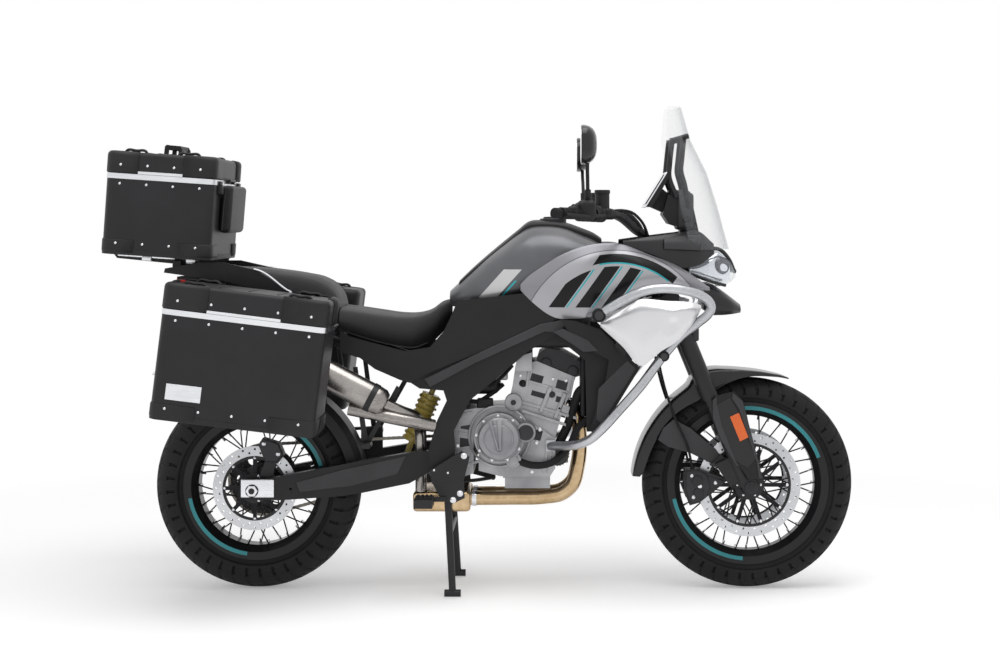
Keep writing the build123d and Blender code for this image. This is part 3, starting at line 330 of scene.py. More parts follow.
FINISH["tank_paint"] = graphic(
    "tank_paint", rgb(.15, .152, .16), rgb(.115, .118, .125),
    [(PALE, [(STRIPE, SLANT, -0.621, -0.580), (STRIPE, UPWARD, 0.913, 1.0)]),
     (TEAL, [(STRIPE, SLANT, -0.573, -0.568), (STRIPE, UPWARD, 0.903, 0.966)]),
     (TEAL, [(STRIPE, SLANT, -0.603, -0.568), (STRIPE, UPWARD, 0.903, 0.9075)])],
    fade=((-0.435, 0.0, 0.90), 0.775, 0.835))

NODES_IN = {
    "rubber": "front_tyre rear_tyre",
    "rim_black": "front_wheel rear_wheel",
    "front_disc_faces": "front_discs",
    "rear_disc_faces": "rear_disc",
    "frame_black": "main_frame subframe swingarm rear_rack",
    "cast_silver": "crankcase cylinder_head engine_covers",
    "cover_dark": "valve_cover triple_clamps",
    "bronze_pipe": "exhaust_headers",
    "muffler_steel": "muffler",
    "radiator_core": "radiator",
    "spring_yellow": "shock",
    "chain_steel": "chain",
    "grey_paint": "fuel_tank",
    "silver_paint": "shrouds side_wings",
    "dark_paint": "nose_cowls",
    "lamp_clear": "headlight",
    "screen_clear": "windscreen",
    "brushed_rail": "crash_bars",
    "gloss_plastic": "mirrors",
    "vinyl": "saddle pillion_seat backrest",
    "satin_plastic": "hugger side_panels deflectors beak cockpit tail_unit front_fender fork_guards",
    "black_steel": "rear_sprocket rear_caliper front_calipers screen_frame footrests side_stand "
                   "centre_stand fork handlebar bar_controls",
    "case_black": "pannier_left_shell pannier_left_lid pannier_right_shell pannier_right_lid "
                  "top_case_shell top_case_lid",
}
for finish, nodes in NODES_IN.items():
    for name in nodes.split():
        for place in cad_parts[name].material_slots:
            place.link = "OBJECT"
            place.material = FINISH[finish]


# ---------------------------------------------------------------- surfaces
def through(rows, count):
    """Points along a smooth run through the given rows: on each span a cubic whose end slopes are
    the slopes of the spans beside it, each weighted by the other's length."""
    rows = np.asarray(rows, float)
    flat = rows.reshape(len(rows), -1)
    span = np.maximum(np.sqrt(((flat[1:] - flat[:-1]) ** 2).sum(1)), 1e-4)
    at = np.concatenate([[0.0], np.cumsum(span)])
    rate = (flat[1:] - flat[:-1]) / span[:, None]
    mid = (rate[:-1] * span[1:, None] + rate[1:] * span[:-1, None]) / (span[1:] + span[:-1])[:, None]
    slope = np.concatenate([rate[:1], mid, rate[-1:]])
    want = np.linspace(0, at[-1], count)
    k = np.clip(np.searchsorted(at, want, side="right") - 1, 0, len(span) - 1)
    u, h = ((want - at[k]) / span[k])[:, None], span[k][:, None]
    made = ((2 * u**3 - 3 * u**2 + 1) * flat[k] + (u**3 - 2 * u**2 + u) * h * slope[k]
            + (3 * u**2 - 2 * u**3) * flat[k + 1] + (u**3 - u**2) * h * slope[k + 1])
    return made.reshape((count,) + rows.shape[1:])


def grid(points, wrap_rows=False, wrap_cols=False, ends=False):
    """A grid of points with its four-sided faces; ends closes the first and last row."""
    rows, cols = points.shape[:2]
    number = np.arange(rows * cols).reshape(rows, cols)
    if wrap_rows:
        number = np.concatenate([number, number[:1]])
    if wrap_cols:
        number = np.concatenate([number, number[:, :1]], 1)
    faces = np.stack([number[:-1, :-1], number[1:, :-1], number[1:, 1:], number[:-1, 1:]], -1)
    made = [faces.reshape(-1, 4)]
    if ends:
        made += [number[:1, :cols], number[-1:, cols - 1::-1]]
    return points.reshape(-1, 3), made


def facing_out(shape):
    """The same shape, its faces turned away from its middle plane's centre line."""
    points, faces = shape
    a, b, c, d = (points[faces[0][:, k]] for k in range(4))
    area = np.cross(c - a, d - b)
    centre = points.mean(0) * (1, 0, 1)
    if (area * ((a + b + c + d) / 4 - centre)).sum() < 0:
        faces = [f[:, ::-1] for f in faces]
    return points, faces


def moved(shape, change):
    return change(shape[0]), shape[1]


def several(shapes):
    return shapes if isinstance(shapes, list) else [shapes]


def both_sides(shapes):
    """Each shape and its mirror image across the middle plane."""
    return [made for shape in several(shapes)
            for made in (shape, moved(shape, lambda points: points * MIRRORED))]


def strewn(shape, places, angles=0.0):
    """Copies of one shape, each turned by an angle in the side view and moved to a place."""
    points, faces = shape
    places = np.asarray(places, float).reshape(-1, 3)
    across, up = (np.broadcast_to(wave(angles), len(places))[:, None] for wave in (np.cos, np.sin))
    copies = np.stack([points[:, 0] * across - points[:, 2] * up, points[:, 1] + 0 * across,
                       points[:, 0] * up + points[:, 2] * across], -1) + places[:, None]
    shift = np.arange(len(places)) * len(points)
    return (copies.reshape(-1, 3),
            [(f[None] + shift[:, None, None]).reshape(-1, f.shape[1]) for f in faces])


def turned(centre, axis, profile, turns=32, loop=False):
    """A profile of (radius, distance along the axis) turned about an axis through a point; a loop
    joins the profile's ends instead of closing each with a flat face."""
    axis = np.asarray(axis, float) / np.linalg.norm(axis)
    side = np.cross(axis, (0.0, 0.0, 1.0) if abs(axis[2]) < 0.9 else (1.0, 0.0, 0.0))
    side /= np.linalg.norm(side)
    profile = np.asarray(profile, float)
    angle = np.linspace(0, TURN, turns, endpoint=False)
    wheel = np.cos(angle)[:, None] * side + np.sin(angle)[:, None] * np.cross(axis, side)
    points = (np.asarray(centre, float) + profile[:, None, :1] * wheel[None]
              + profile[:, None, 1:] * axis)
    return grid(points, wrap_rows=loop, wrap_cols=True, ends=not loop)


def hoop(centre, way, outer, inner, low, high, turns=48, flare=0):
    """A flat ring between two radii, from low to high along its axis, its inside higher by flare."""
    return turned(centre, way, [(outer, low), (outer, high), (inner, high + flare), (inner, low)],
                  turns, loop=True)


def cap(place, way, radius, depth, round_off=3, turns=32):
    """A round cap that stands out from a place along a direction, with a softened rim."""
    return turned(place, way, [(radius, 0), (radius, depth - round_off),
                               (radius - round_off * 0.3, depth - round_off * 0.3),
                               (radius - round_off, depth)], turns)


def rivets(places, way, radius, height):
    """Rivet heads: low ball caps that face along a direction."""
    bow = np.linspace(0, TURN / 4, 5)[:-1]
    profile = np.concatenate([[[radius, -1]], np.column_stack([radius * np.cos(bow), height * np.sin(bow)]),
                              [[radius * 0.15, height]]])
    return strewn(turned(ORIGIN, way, profile, 12), places)


def bolts(places, radius, height, way=RIGHT):
    """Hexagon heads on round washers, facing along a direction."""
    washer = turned(ORIGIN, way, [(radius * 1.25, -1), (radius * 1.25, height * 0.3),
                                  (radius * 1.1, height * 0.4)], 16)
    head = turned(ORIGIN, way, [(radius, 0), (radius, height * 0.85), (radius * 0.85, height)], 6)
    return [strewn(shape, places) for shape in (washer, head)]


def about(centre, radius, y, angle):
    """Places at a radius and an angle about a centre in the side view, and at a distance out."""
    return np.stack(np.broadcast_arrays(centre[0] + radius * np.cos(angle), y,
                                        centre[2] + radius * np.sin(angle)), -1)


def ring_of(centre, radius, y, count, start=0.0):
    """Places evenly round a circle in the side view, the first at an angle in degrees."""
    return about(centre, radius, y, np.radians(start) + np.linspace(0, TURN, count, endpoint=False))


def four_corners(steps):
    """Angles once round, in four quarter turns that each have both their ends."""
    quarter = np.linspace(0, TURN / 4, steps + 1)
    return np.concatenate([quarter + k * TURN / 4 for k in range(4)])


def pipe(path, radius, sides=12, count=48):
    """A circle carried along a smooth path, turned no more than the path turns."""
    line = through(path, count)
    ahead = np.gradient(line, axis=0)
    ahead /= np.linalg.norm(ahead, axis=1)[:, None]
    side = np.cross(ahead[0], (0.0, 0.0, 1.0) if abs(ahead[0][2]) < 0.9 else (0.0, 1.0, 0.0))
    sides_of = []
    for way in ahead:
        side = side - way * side.dot(way)
        side = side / np.linalg.norm(side)
        sides_of.append(side)
    side = np.array(sides_of)
    angle = np.linspace(0, TURN, sides, endpoint=False)
    size = np.broadcast_to(np.asarray(radius, float), count)[:, None, None]
    points = line[:, None] + size * (np.cos(angle)[None, :, None] * side[:, None]
                                     + np.sin(angle)[None, :, None] * np.cross(ahead, side)[:, None])
    return grid(points, wrap_cols=True, ends=True)


def block(low, high, radius, steps=3):
    """A box with round edges: a small ball's points, each pushed out to the box's nearest corner."""
    low, high = np.asarray(low, float), np.asarray(high, float)
    round_about = four_corners(steps)
    up = np.concatenate([round_about[:steps + 1] - TURN / 4, round_about[:steps + 1]])[:, None]
    ball = np.stack([np.cos(up) * np.cos(round_about), np.cos(up) * np.sin(round_about),
                     np.sin(up) + 0 * round_about], -1)
    corner_x, corner_y = (np.repeat(signs, steps + 1)[None] for signs in ([1, -1, -1, 1], [1, 1, -1, -1]))
    corner_z = np.repeat([-1, 1], steps + 1)[:, None]
    corner = np.stack(np.broadcast_arrays(corner_x, corner_y, corner_z), -1)
    points = (low + high) / 2 + corner * ((high - low) / 2 - radius) + radius * ball
    return grid(points, wrap_cols=True, ends=True)


def slab(outline, y_low, y_high):
    """A flat (x, z) outline given thickness from y_low to y_high."""
    outline = np.asarray(outline, float)
    rows = [np.column_stack([outline[:, 0], np.full(len(outline), y), outline[:, 1]])
            for y in (y_low, y_high)]
    return grid(np.array(rows), wrap_cols=True, ends=True)


def panels(*rows):
    """Flat panels, each an (x, z) outline, its inner and outer face, and -1 where it is on the
    right side only."""
    return [slab(outline, side * inner, side * outer)
            for outline, inner, outer, *only in rows for side in only or (1, -1)]


def across_rows(rows, count):
    """The same rows, each a smooth run of so many points."""
    return through(rows.transpose(1, 0, 2), count).transpose(1, 0, 2)


def lofted(stations, along, across):
    """Rows smooth both ways through stations of (x, [(y, z), ...])."""
    rows = through([[(x, y, z) for y, z in points] for x, points in stations], along)
    return across_rows(rows, across)


def skin(stations, along, across):
    """A panel on the right side, through stations whose y is measured outwards."""
    return grid(lofted(stations, along, across) * MIRRORED)


def hull(stations, along, across):
    """A closed body, the same on both sides: each station runs from the bottom edge to the crown
    on the middle plane."""
    half = lofted(stations, along, across)
    return grid(np.concatenate([half, half[:, -2::-1] * MIRRORED], 1), wrap_cols=True, ends=True)


def piece(name, shapes, finish, body="chassis", wall=0.0, edge=0.0, sharp=35, stands_for=()):
    """One object made of shapes: wall gives sheets a thickness inwards, edge rounds corners."""
    shapes = [facing_out(shape) for shape in several(shapes)]
    points = (np.concatenate([p for p, _ in shapes]) / 1000).astype(np.float32)
    shift = np.cumsum([0] + [len(p) for p, _ in shapes])
    faces = [f + start for (_, sets), start in zip(shapes, shift) for f in sets]
    corners = np.concatenate([f.ravel() for f in faces]).astype(np.int32)
    counts = np.concatenate([np.full(len(f), f.shape[1]) for f in faces]).astype(np.int32)
    starts = np.concatenate([[0], np.cumsum(counts)[:-1]]).astype(np.int32)
    mesh = bpy.data.meshes.new(name)
    mesh.vertices.add(len(points))
    mesh.vertices.foreach_set("co", points.ravel())
    mesh.loops.add(len(corners))
    mesh.loops.foreach_set("vertex_index", corners)
    mesh.polygons.add(len(counts))
    mesh.polygons.foreach_set("loop_start", starts)
    mesh.polygons.foreach_set("use_smooth", np.ones(len(counts), bool))
    mesh.update(calc_edges=True)
    mesh.validate()
    mesh.set_sharp_from_angle(angle=np.radians(sharp))
    mesh.materials.append(FINISH[finish])
    made = bpy.data.objects.new(name, mesh)
    bpy.context.scene.collection.objects.link(made)
    if wall:
        made.modifiers.new("wall", "SOLIDIFY").thickness = wall / 1000
    if edge:
        rim = made.modifiers.new("edge", "BEVEL")
        rim.width, rim.segments, rim.limit_method, rim.angle_limit = edge / 1000, 2, "ANGLE", 0.7
    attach(made, body)
    if stands_for:
        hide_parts(*stands_for)
    return made


# ---------------------------------------------------------------- wheels
TYRES = {  # axle, radius, width, bead radius, half width at the bead, tread pitches
    "front": (FRONT_AXLE, 329, 110, 243, 34.5, 44),
    "rear": (REAR_AXLE, 321, 150, 218, 52.5, 40),
}
GROOVE_DEPTH, ARCH_POINTS, STEPS_PER_PITCH = 5.5, 61, 14
# the tread's pattern, across in half widths of the tyre and along in pitches
ZIGZAG_SWING, ZIGZAG_HALF = 0.10, 0.035
CHANNEL_START, CHANNEL_SLANT, CHANNEL_HALF = 0.2, 0.7, 0.085
DASH_AT, DASH_HALF, DASH_LENGTH = 0.55, 0.03, 1.2


def tyre_shape(axle, radius, width, bead, foot, pitches):
    """A round-shouldered profile carried about the axle. Its grooves are a zigzag round the middle,
    slanted channels that reach out to each shoulder in turn, and a broken line down each side."""
    half, shoulder = width / 2, radius - width * 0.44
    crown = (half**2 + (radius - shoulder) ** 2) / (2 * (radius - shoulder))
    angle = np.linspace(-1, 1, ARCH_POINTS) * np.arcsin(min(0.999, half / crown))
    arch = np.column_stack([crown * np.sin(angle), radius - crown + crown * np.cos(angle)])
    wall = [[half - 1.5, shoulder - 12], [foot + 8, bead + 24], [foot + 2.5, bead + 13], [foot, bead]]
    out = through(np.concatenate([arch[-1:], wall]), 16)[1:]
    inner = np.array([[foot - 9, bead], [half - 10, shoulder], [0, radius - 10], [10 - half, shoulder],
                      [9 - foot, bead]])
    profile = np.concatenate([out[::-1] * (-1, 1), arch, out, inner])
    outside = np.arange(len(profile))[:, None] < len(profile) - len(inner)
    turn = np.linspace(0, TURN, pitches * STEPS_PER_PITCH, endpoint=False)
    pitch = (turn * pitches / TURN)[None]
    across = profile[:, :1] / half
    far = np.abs(across)
    zigzag = np.abs(across - ZIGZAG_SWING * (2 * np.abs(pitch % 1 - 0.5) - 0.5)) < ZIGZAG_HALF
    slanted = (pitch + 0.5 * (across < 0) + CHANNEL_SLANT * far) % 1
    channels = (np.abs(slanted - 0.5) < CHANNEL_HALF) & (far > CHANNEL_START)
    dashes = (np.abs(far - DASH_AT) < DASH_HALF) & (pitch % 2 < DASH_LENGTH)
    depth = GROOVE_DEPTH * (zigzag | channels | dashes) * ((profile[:, 1:] > shoulder - 2) & outside)
    sunk = profile[:, 1:] - depth * np.sqrt(np.clip(1 - across**2 * 0.6, 0, 1))
    tucked = across * half - np.where(far > 0.9, np.sign(across) * depth, 0)
    return grid(about(axle, sunk, tucked, turn), wrap_rows=True, wrap_cols=True)


for end, numbers in TYRES.items():
    piece(f"{end}_tread", tyre_shape(*numbers), "rubber", f"{end}_wheel", sharp=28,
          stands_for=(f"{end}_tyre",))


def arc_band(axle, inner, outer, y, start, end, steps=40):
    """A thin curved strip beside the rim, between two radii and two angles in degrees."""
    angle = np.radians(np.linspace(start, end, steps))
    rows = [about(axle, radius, out, angle) for radius, out in
            ((inner, y), (outer, y), (outer, y * 0.985), (inner, y * 0.985))]
    return grid(np.array(rows).transpose(1, 0, 2), wrap_cols=True, ends=True)


RIM_STRIPES = {"front": (FRONT_AXLE, 229, 241, 39.2, [(20, 97), (192, 266)]),
               "rear": (REAR_AXLE, 204, 216, 57.2, [(18, 62), (190, 262)])}
for end, (axle, inner, outer, y, arcs) in RIM_STRIPES.items():
    piece(f"{end}_rim_stripes", both_sides([arc_band(axle, inner, outer, y, *arc) for arc in arcs]),
          "teal", f"{end}_wheel")


# ---------------------------------------------------------------- tank, seats and fairing
TANK = [(-105, [(60, 884), (74, 903), (68, 919), (45, 929), (0, 931)]),
        (-77, [(85, 882), (101, 906), (89, 936), (55, 953), (0, 957)]),
        (-30, [(105, 880), (126, 915), (108, 965), (62, 995), (0, 1001)]),
        (17, [(118, 880), (143, 925), (123, 1000), (72, 1034), (0, 1042)]),
        (64, [(125, 884), (154, 940), (135, 1032), (74, 1071), (0, 1080)]),
        (105, [(130, 890), (162, 956), (142, 1060), (76, 1102), (0, 1110)]),
        (140, [(131, 895), (166, 970), (146, 1076), (78, 1122), (0, 1130)]),
        (190, [(130, 905), (168, 985), (146, 1086), (78, 1128), (0, 1136)]),
        (253, [(128, 925), (165, 998), (144, 1082), (76, 1121), (0, 1129)]),
        (300, [(122, 950), (156, 1008), (137, 1072), (70, 1104), (0, 1111)]),
        (347, [(108, 980), (143, 1018), (125, 1062), (64, 1086), (0, 1091)]),
        (366, [(100, 990), (137, 1020), (119, 1058), (60, 1076), (0, 1080)])]
LIFTS = [0, 5, 6, 6, 7, 10, 17, 15, 15, 17, 17, 15]  # of the trim over the tank's crown
TRIM = [(x, [(66, points[3][1] - 5), (65, points[3][1] + lift * 0.7), (40, points[4][1] + lift - 3),
             (0, points[4][1] + lift)]) for (x, points), lift in zip(TANK, LIFTS)][1:]
piece("tank_body", hull(TANK, 90, 26), "tank_paint", stands_for=("fuel_tank",))
piece("tank_trim", hull(TRIM, 80, 16), "satin_plastic")
piece("filler_cap", [turned((215, 0, 1146), (-0.03, 0, 1), profile, 40) for profile in
                     ([(42, -10), (42, 8), (38, 11)], [(30, 8), (30, 14), (27, 16)])], "cover_dark")

SADDLE = [(-104, [(52, 838), (68, 868), (60, 890), (36, 901), (0, 903)]),
          (-130, [(74, 800), (94, 846), (84, 880), (48, 893), (0, 896)]),
          (-165, [(98, 770), (116, 816), (102, 856), (58, 869), (0, 871)]),
          (-211, [(126, 757), (148, 803), (128, 844), (74, 857), (0, 857)]),
          (-257, [(136, 762), (159, 806), (140, 845), (84, 857), (0, 855)]),
          (-319, [(143, 776), (164, 816), (146, 852), (90, 865), (0, 863)]),
          (-381, [(143, 794), (162, 828), (144, 862), (92, 874), (0, 872)]),
          (-438, [(141, 812), (158, 842), (142, 870), (94, 881), (0, 881)])]
PILLION = [(-440, [(116, 802), (126, 846), (112, 874), (70, 886), (0, 886)]),
           (-448, [(117, 804), (129, 868), (116, 906), (74, 920), (0, 921)]),
           (-469, [(118, 808), (131, 890), (118, 932), (76, 948), (0, 950)]),
           (-500, [(118, 818), (133, 904), (120, 950), (78, 966), (0, 969)]),
           (-561, [(118, 846), (134, 920), (120, 966), (80, 981), (0, 984)]),
           (-620, [(117, 870), (133, 934), (119, 975), (79, 990), (0, 993)]),
           (-690, [(116, 892), (130, 948), (116, 983), (78, 998), (0, 1000)]),
           (-791, [(110, 930), (121, 968), (108, 993), (72, 1003), (0, 1004)])]
for name, stations, node in (("rider_seat", SADDLE, "saddle"),
                             ("passenger_seat", PILLION, "pillion_seat")):
    piece(name, hull(stations, 70, 24), "vinyl", stands_for=(node,))

SHROUD = [(116, [(171, 936), (173, 941), (174, 946), (173, 951), (170, 956)]),
          (140, [(173, 912), (178, 932), (180, 948), (178, 964), (172, 980)]),
          (172, [(175, 884), (184, 920), (189, 948), (184, 976), (174, 1003)]),
          (200, [(177, 864), (190, 908), (197, 945), (190, 985), (176, 1021)]),
          (230, [(180, 852), (197, 900), (206, 945), (198, 996), (179, 1040)]),
          (262, [(184, 851), (203, 900), (215, 952), (206, 1008), (182, 1055)]),
          (320, [(190, 856), (212, 908), (228, 962), (216, 1024), (186, 1074)]),
          (372, [(197, 872), (220, 924), (233, 975), (219, 1036), (188, 1081)]),
          (416, [(204, 893), (226, 940), (236, 986), (220, 1040), (190, 1079)]),
          (507, [(208, 940), (222, 966), (228, 995), (212, 1026), (180, 1046)]),
          (597, [(194, 945), (203, 963), (205, 980), (192, 1000), (168, 1010)]),
          (692, [(168, 936), (170, 939), (171, 941), (169, 944), (166, 946)])]
WING = [(357, [(232, 830), (236, 834), (238, 837), (236, 840), (232, 842)]),
        (420, [(240, 774), (252, 802), (256, 830), (250, 858), (236, 879)]),
        (484, [(244, 713), (260, 764), (264, 815), (254, 868), (230, 913)]),
        (512, [(243, 733), (259, 780), (264, 826), (252, 874), (228, 912)]),
        (540, [(242, 757), (256, 796), (262, 835), (250, 876), (226, 909)]),
        (574, [(236, 776), (251, 806), (245, 838), (253, 870), (221, 907)]),
        (600, [(232, 795), (247, 822), (248, 850), (243, 880), (218, 906)]),
        (640, [(222, 843), (232, 858), (235, 873), (229, 889), (214, 902)]),
        (662, [(214, 880), (217, 884), (218, 887), (216, 890), (212, 893)])]
COWL = [(428, [(184, 1070), (185, 1076), (184, 1081), (182, 1086), (178, 1089)]),
        (520, [(173, 1044), (175, 1062), (173, 1078), (167, 1092), (156, 1102)]),
        (600, [(162, 1006), (163, 1036), (159, 1063), (150, 1090), (134, 1112)]),
        (660, [(146, 1012), (146, 1036), (142, 1058), (130, 1090), (108, 1118)]),
        (712, [(108, 1046), (106, 1056), (102, 1063), (98, 1071), (92, 1078)])]
for name, stations, finish, node in (("tank_shroud", SHROUD, "shroud_paint", "shrouds"),
                                     ("side_wing", WING, "white_paint", "side_wings"),
                                     ("nose_cowl", COWL, "dark_paint", "nose_cowls")):
    piece(name, both_sides(skin(stations, 60, 24)), finish, wall=4, edge=1, stands_for=(node,))

BEAK = [(680, [(86, 874), (107, 900), (103, 925), (88, 945), (0, 948)]),
        (704, [(82, 858), (104, 890), (100, 922), (84, 946), (0, 949)]),
        (730, [(76, 856), (98, 884), (94, 910), (76, 932), (0, 934)]),
        (765, [(68, 858), (84, 878), (80, 898), (60, 910), (0, 912)]),
        (800, [(40, 862), (51, 870), (48, 878), (34, 885), (0, 886)])]
piece("beak_shell", hull(BEAK, 40, 20), "dark_paint", stands_for=("beak",))
COWL_FACET = [(553, [(176, 1062), (175, 1078), (165, 1095)]),
              (620, [(163, 1060), (160, 1078), (142, 1104)]),
              (668, [(146.5, 1058), (141, 1074), (119, 1104)])]
piece("cowl_facets", both_sides(skin(COWL_FACET, 20, 12)), "smoke_plastic", wall=3)


# ---------------------------------------------------------------- chain and wheel fittings
CHAIN_Y, LINKS, PLATE = 92, 112, 1.8
FRONT_SPROCKET, FRONT_PITCH_RADIUS, REAR_PITCH_RADIUS = np.array([-62, 425]), 40, 112


def chain_loop(count):
    """Even places along the loop that wraps two circles, and the direction of travel at each."""
    turn = np.linspace(0, TURN, 1441)
    way = np.stack([np.cos(turn), np.sin(turn)], -1)
    front = FRONT_SPROCKET + FRONT_PITCH_RADIUS * way
    rear = REAR_AXLE[[0, 2]] + REAR_PITCH_RADIUS * way
    line = np.where((front * way).sum(1)[:, None] > (rear * way).sum(1)[:, None], front, rear)
    far = np.concatenate([[0], np.cumsum(np.linalg.norm(np.diff(line, axis=0), axis=1))])
    want = np.linspace(0, far[-1], count, endpoint=False)
    x, z = np.interp(want, far, line[:, 0]), np.interp(want, far, line[:, 1])
    angle = np.arctan2(np.roll(z, -1) - z, np.roll(x, -1) - x)
    middle = np.stack([(x + np.roll(x, -1)) / 2, np.full(count, CHAIN_Y), (z + np.roll(z, -1)) / 2], -1)
    return middle, angle


# a link is two plates with waists on a roller
waist = np.linspace(0, TURN, 20, endpoint=False)
link_outline = np.stack([11.8 * np.cos(waist),
                         6.2 * np.sin(waist) * (0.72 + 0.28 * np.cos(waist)**2)], -1)
link = [*(slab(link_outline, y, y + PLATE) for y in (-6.8, 5)),
        turned((-7.9, 0, 0), LEFT, [(4, -7.2), (4, 7.2)], 10)]
piece("chain_links", [strewn(shape, *chain_loop(LINKS)) for shape in link], "chain_steel",
      stands_for=("chain",))

DISC_FRONT, DISC_REAR = 70.5, -86.5
piece("front_disc_bolts", both_sides([rivets(ring_of(FRONT_AXLE, 118, DISC_FRONT, 10), LEFT, 5.5, 4),
                                      rivets(ring_of(FRONT_AXLE, 36, DISC_FRONT, 6), LEFT, 4.5, 3)]),
      "bright_metal", "front_wheel")
piece("rear_disc_bolts", [rivets(ring_of(REAR_AXLE, 93.5, DISC_REAR, 8), RIGHT, 5, 3.5),
                          rivets(ring_of(REAR_AXLE, 40, DISC_REAR, 5), RIGHT, 5, 4)],
      "bright_metal", "rear_wheel")


def disc_carrier(axle, y, way, outer):
    """The ring inside a brake disc and the ring round the hub."""
    centre = (axle[0], y, axle[2])
    return [hoop(centre, way, outer, outer - 9, -1, 1.6, 60), hoop(centre, way, 46, 30, -1, 1.8)]


piece("front_disc_carrier", both_sides(disc_carrier(FRONT_AXLE, DISC_FRONT, LEFT, 130)),
      "black_steel", "front_wheel")
piece("rear_disc_carrier", disc_carrier(REAR_AXLE, DISC_REAR, RIGHT, 100), "black_steel", "rear_wheel")

SPOKES = 36
nipple = turned(ORIGIN, AHEAD, [(3.4, -9), (3.4, 6), (2.4, 8)], 8)
for end, axle, radius, half in (("front", FRONT_AXLE, 207.5, 10.5), ("rear", REAR_AXLE, 182.5, 15.5)):
    lift = np.where(np.arange(SPOKES) % 2, half, -half)
    piece(f"{end}_spoke_nipples", strewn(nipple, ring_of(axle, radius, lift, SPOKES),
                                         np.linspace(0, TURN, SPOKES, endpoint=False)),
          "bright_metal", f"{end}_wheel")


# ---------------------------------------------------------------- engine
COVER, STATOR = (50, -105, 485), (54, 105, 470)  # where the round covers meet the crankcase
CLUTCH = [(76, -1), (76, 50), (72, 54), (66, 55), (65, 71), (60, 77), (46, 78), (45, 82), (41, 84),
          (36, 81)]
GENERATOR = [(78, -1), (78, 48), (74, 53), (53, 54), (50, 61), (45, 63)]
piece("round_covers", [turned(COVER, RIGHT, CLUTCH, 72),
                       cap((132, -105, 503), RIGHT, 31, 63, 5, 40),
                       cap((93, -105, 417), RIGHT, 25, 45, 4, 40),
                       cap((93, -150, 417), RIGHT, 16, 9),
                       turned(STATOR, LEFT, GENERATOR, 72)],
      "cast_silver", stands_for=("engine_covers",))
piece("cam_drive_cap", cap((93, -94, 590), RIGHT, 27, 25, 4, 40), "cast_silver")
piece("clutch_ridges", [*panels(([(20, 540), (28, 544), (52, 452), (46, 449)], 187, 191, -1),
                                ([(44, 545), (60, 545), (58, 450), (52, 450)], 187, 192, -1)),
                        hoop((50, -158, 485), RIGHT, 76.5, 69, -4, 3, 64)], "cast_silver", edge=1.2)
piece("engine_flanges", panels(([(119, 593), (289, 544), (289, 534), (119, 583)], 94, 100),
                               ([(119, 568), (255, 524), (255, 515), (119, 558)], 104, 109),
                               ([(-88, 552), (-34, 562), (-34, 554), (-88, 544)], 104, 108, -1),
                               ([(60, 361), (206, 361), (206, 353), (60, 353)], 79, 86)),
      "cast_silver", edge=1)
CYLINDER_RIB = np.array([(170, 560), (182, 555), (214, 632), (202, 637)])
piece("cylinder_ribs", panels((CYLINDER_RIB, 94, 101), (CYLINDER_RIB + (45, -18), 94, 101)),
      "cast_silver", edge=1.5)
piece("engine_ribs", [*panels(([(182, 372), (190, 372), (205, 470), (197, 470)], 104, 110),
                              ([(196, 372), (202, 372), (216, 455), (210, 455)], 98, 108),
                              ([(-78, 500), (-34, 492), (-34, 485), (-78, 492)], 104, 109),
                              ([(-82, 440), (-30, 448), (-30, 441), (-82, 432)], 104, 109),
                              ([(-70, 395), (-10, 412), (-8, 405), (-66, 388)], 104, 109),
                              ([(130, 640), (138, 638), (146, 690), (138, 692)], 94, 99),
                              ([(262, 600), (269, 598), (283, 668), (276, 670)], 94, 99),
                              ([(240, 560), (262, 552), (268, 575), (246, 583)], 94, 104),
                              ([(132, 660), (262, 622), (260, 615), (130, 652)], 94, 98)),
                      hoop(COVER, RIGHT, 97, 90, -1, 7, 56, 2), hoop(STATOR, LEFT, 96, 89, -1, 7, 56, 2)],
      "cast_silver", edge=1)
# thin dark panels laid on the engine: painted shade where its recesses and the gaps between its parts fall
# dark
piece("engine_recess_shade", panels(([(143, 655), (180, 644), (187, 668), (150, 679)], 94, 95.5),
                                ([(222, 632), (255, 622), (262, 650), (229, 659)], 94, 95.5),
                                ([(146, 610), (196, 596), (200, 612), (150, 626)], 94, 95.5),
                                ([(222, 590), (250, 582), (254, 600), (226, 608)], 94, 95.5),
                                ([(150, 475), (176, 470), (184, 500), (160, 506)], 104, 106),
                                ([(-70, 515), (-40, 520), (-40, 503), (-70, 508)], 104, 106),
                                ([(-72, 480), (-40, 476), (-38, 455), (-72, 450)], 104, 106),
                                ([(75, 362), (195, 362), (190, 385), (80, 385)], 79, 82)),
      "cover_dark", edge=1)
CASE_BOLTS = [(-75, -106, 545), (-78, -106, 455), (-60, -106, 385), (118, -106, 545),
              (175, -106, 505), (205, -106, 445), (205, -106, 395), (150, -106, 375), (165, -106, 465)]
HEAD_BOLTS = [(115, -96, 670), (255, -96, 655), (235, -96, 570), (110, -96, 605), (215, -96, 660)]
piece("engine_bolts", [*bolts(ring_of(COVER, 70.5, -159, 9, 12), 4.5, 5),
                       *both_sides(bolts(CASE_BOLTS, 4.8, 6)), *bolts(HEAD_BOLTS, 4.2, 5),
                       *bolts(ring_of(STATOR, 73, 158, 8, 10), 4.5, 5, LEFT)], "bright_metal")
piece("engine_bosses", [*both_sides([cap((193, -86, 708), RIGHT, 17, 8),
                                     cap((277, -86, 684), RIGHT, 17, 8)]),
                        cap((212, -94, 612), RIGHT, 10, 8), cap((132, -167, 503), RIGHT, 24, 4),
                        cap((93, -122, 590), RIGHT, 9, 6, turns=6)], "cover_dark")
FILTER = (228, -60, 428)
filter_rib = pipe([(0, 0, 0), (0, -30, 0)], 2.2, 6, 4)
piece("oil_filter", [cap(FILTER, RIGHT, 36, 42, 6, 40), strewn(filter_rib, ring_of(FILTER, 36, -64, 24))],
      "gloss_plastic")
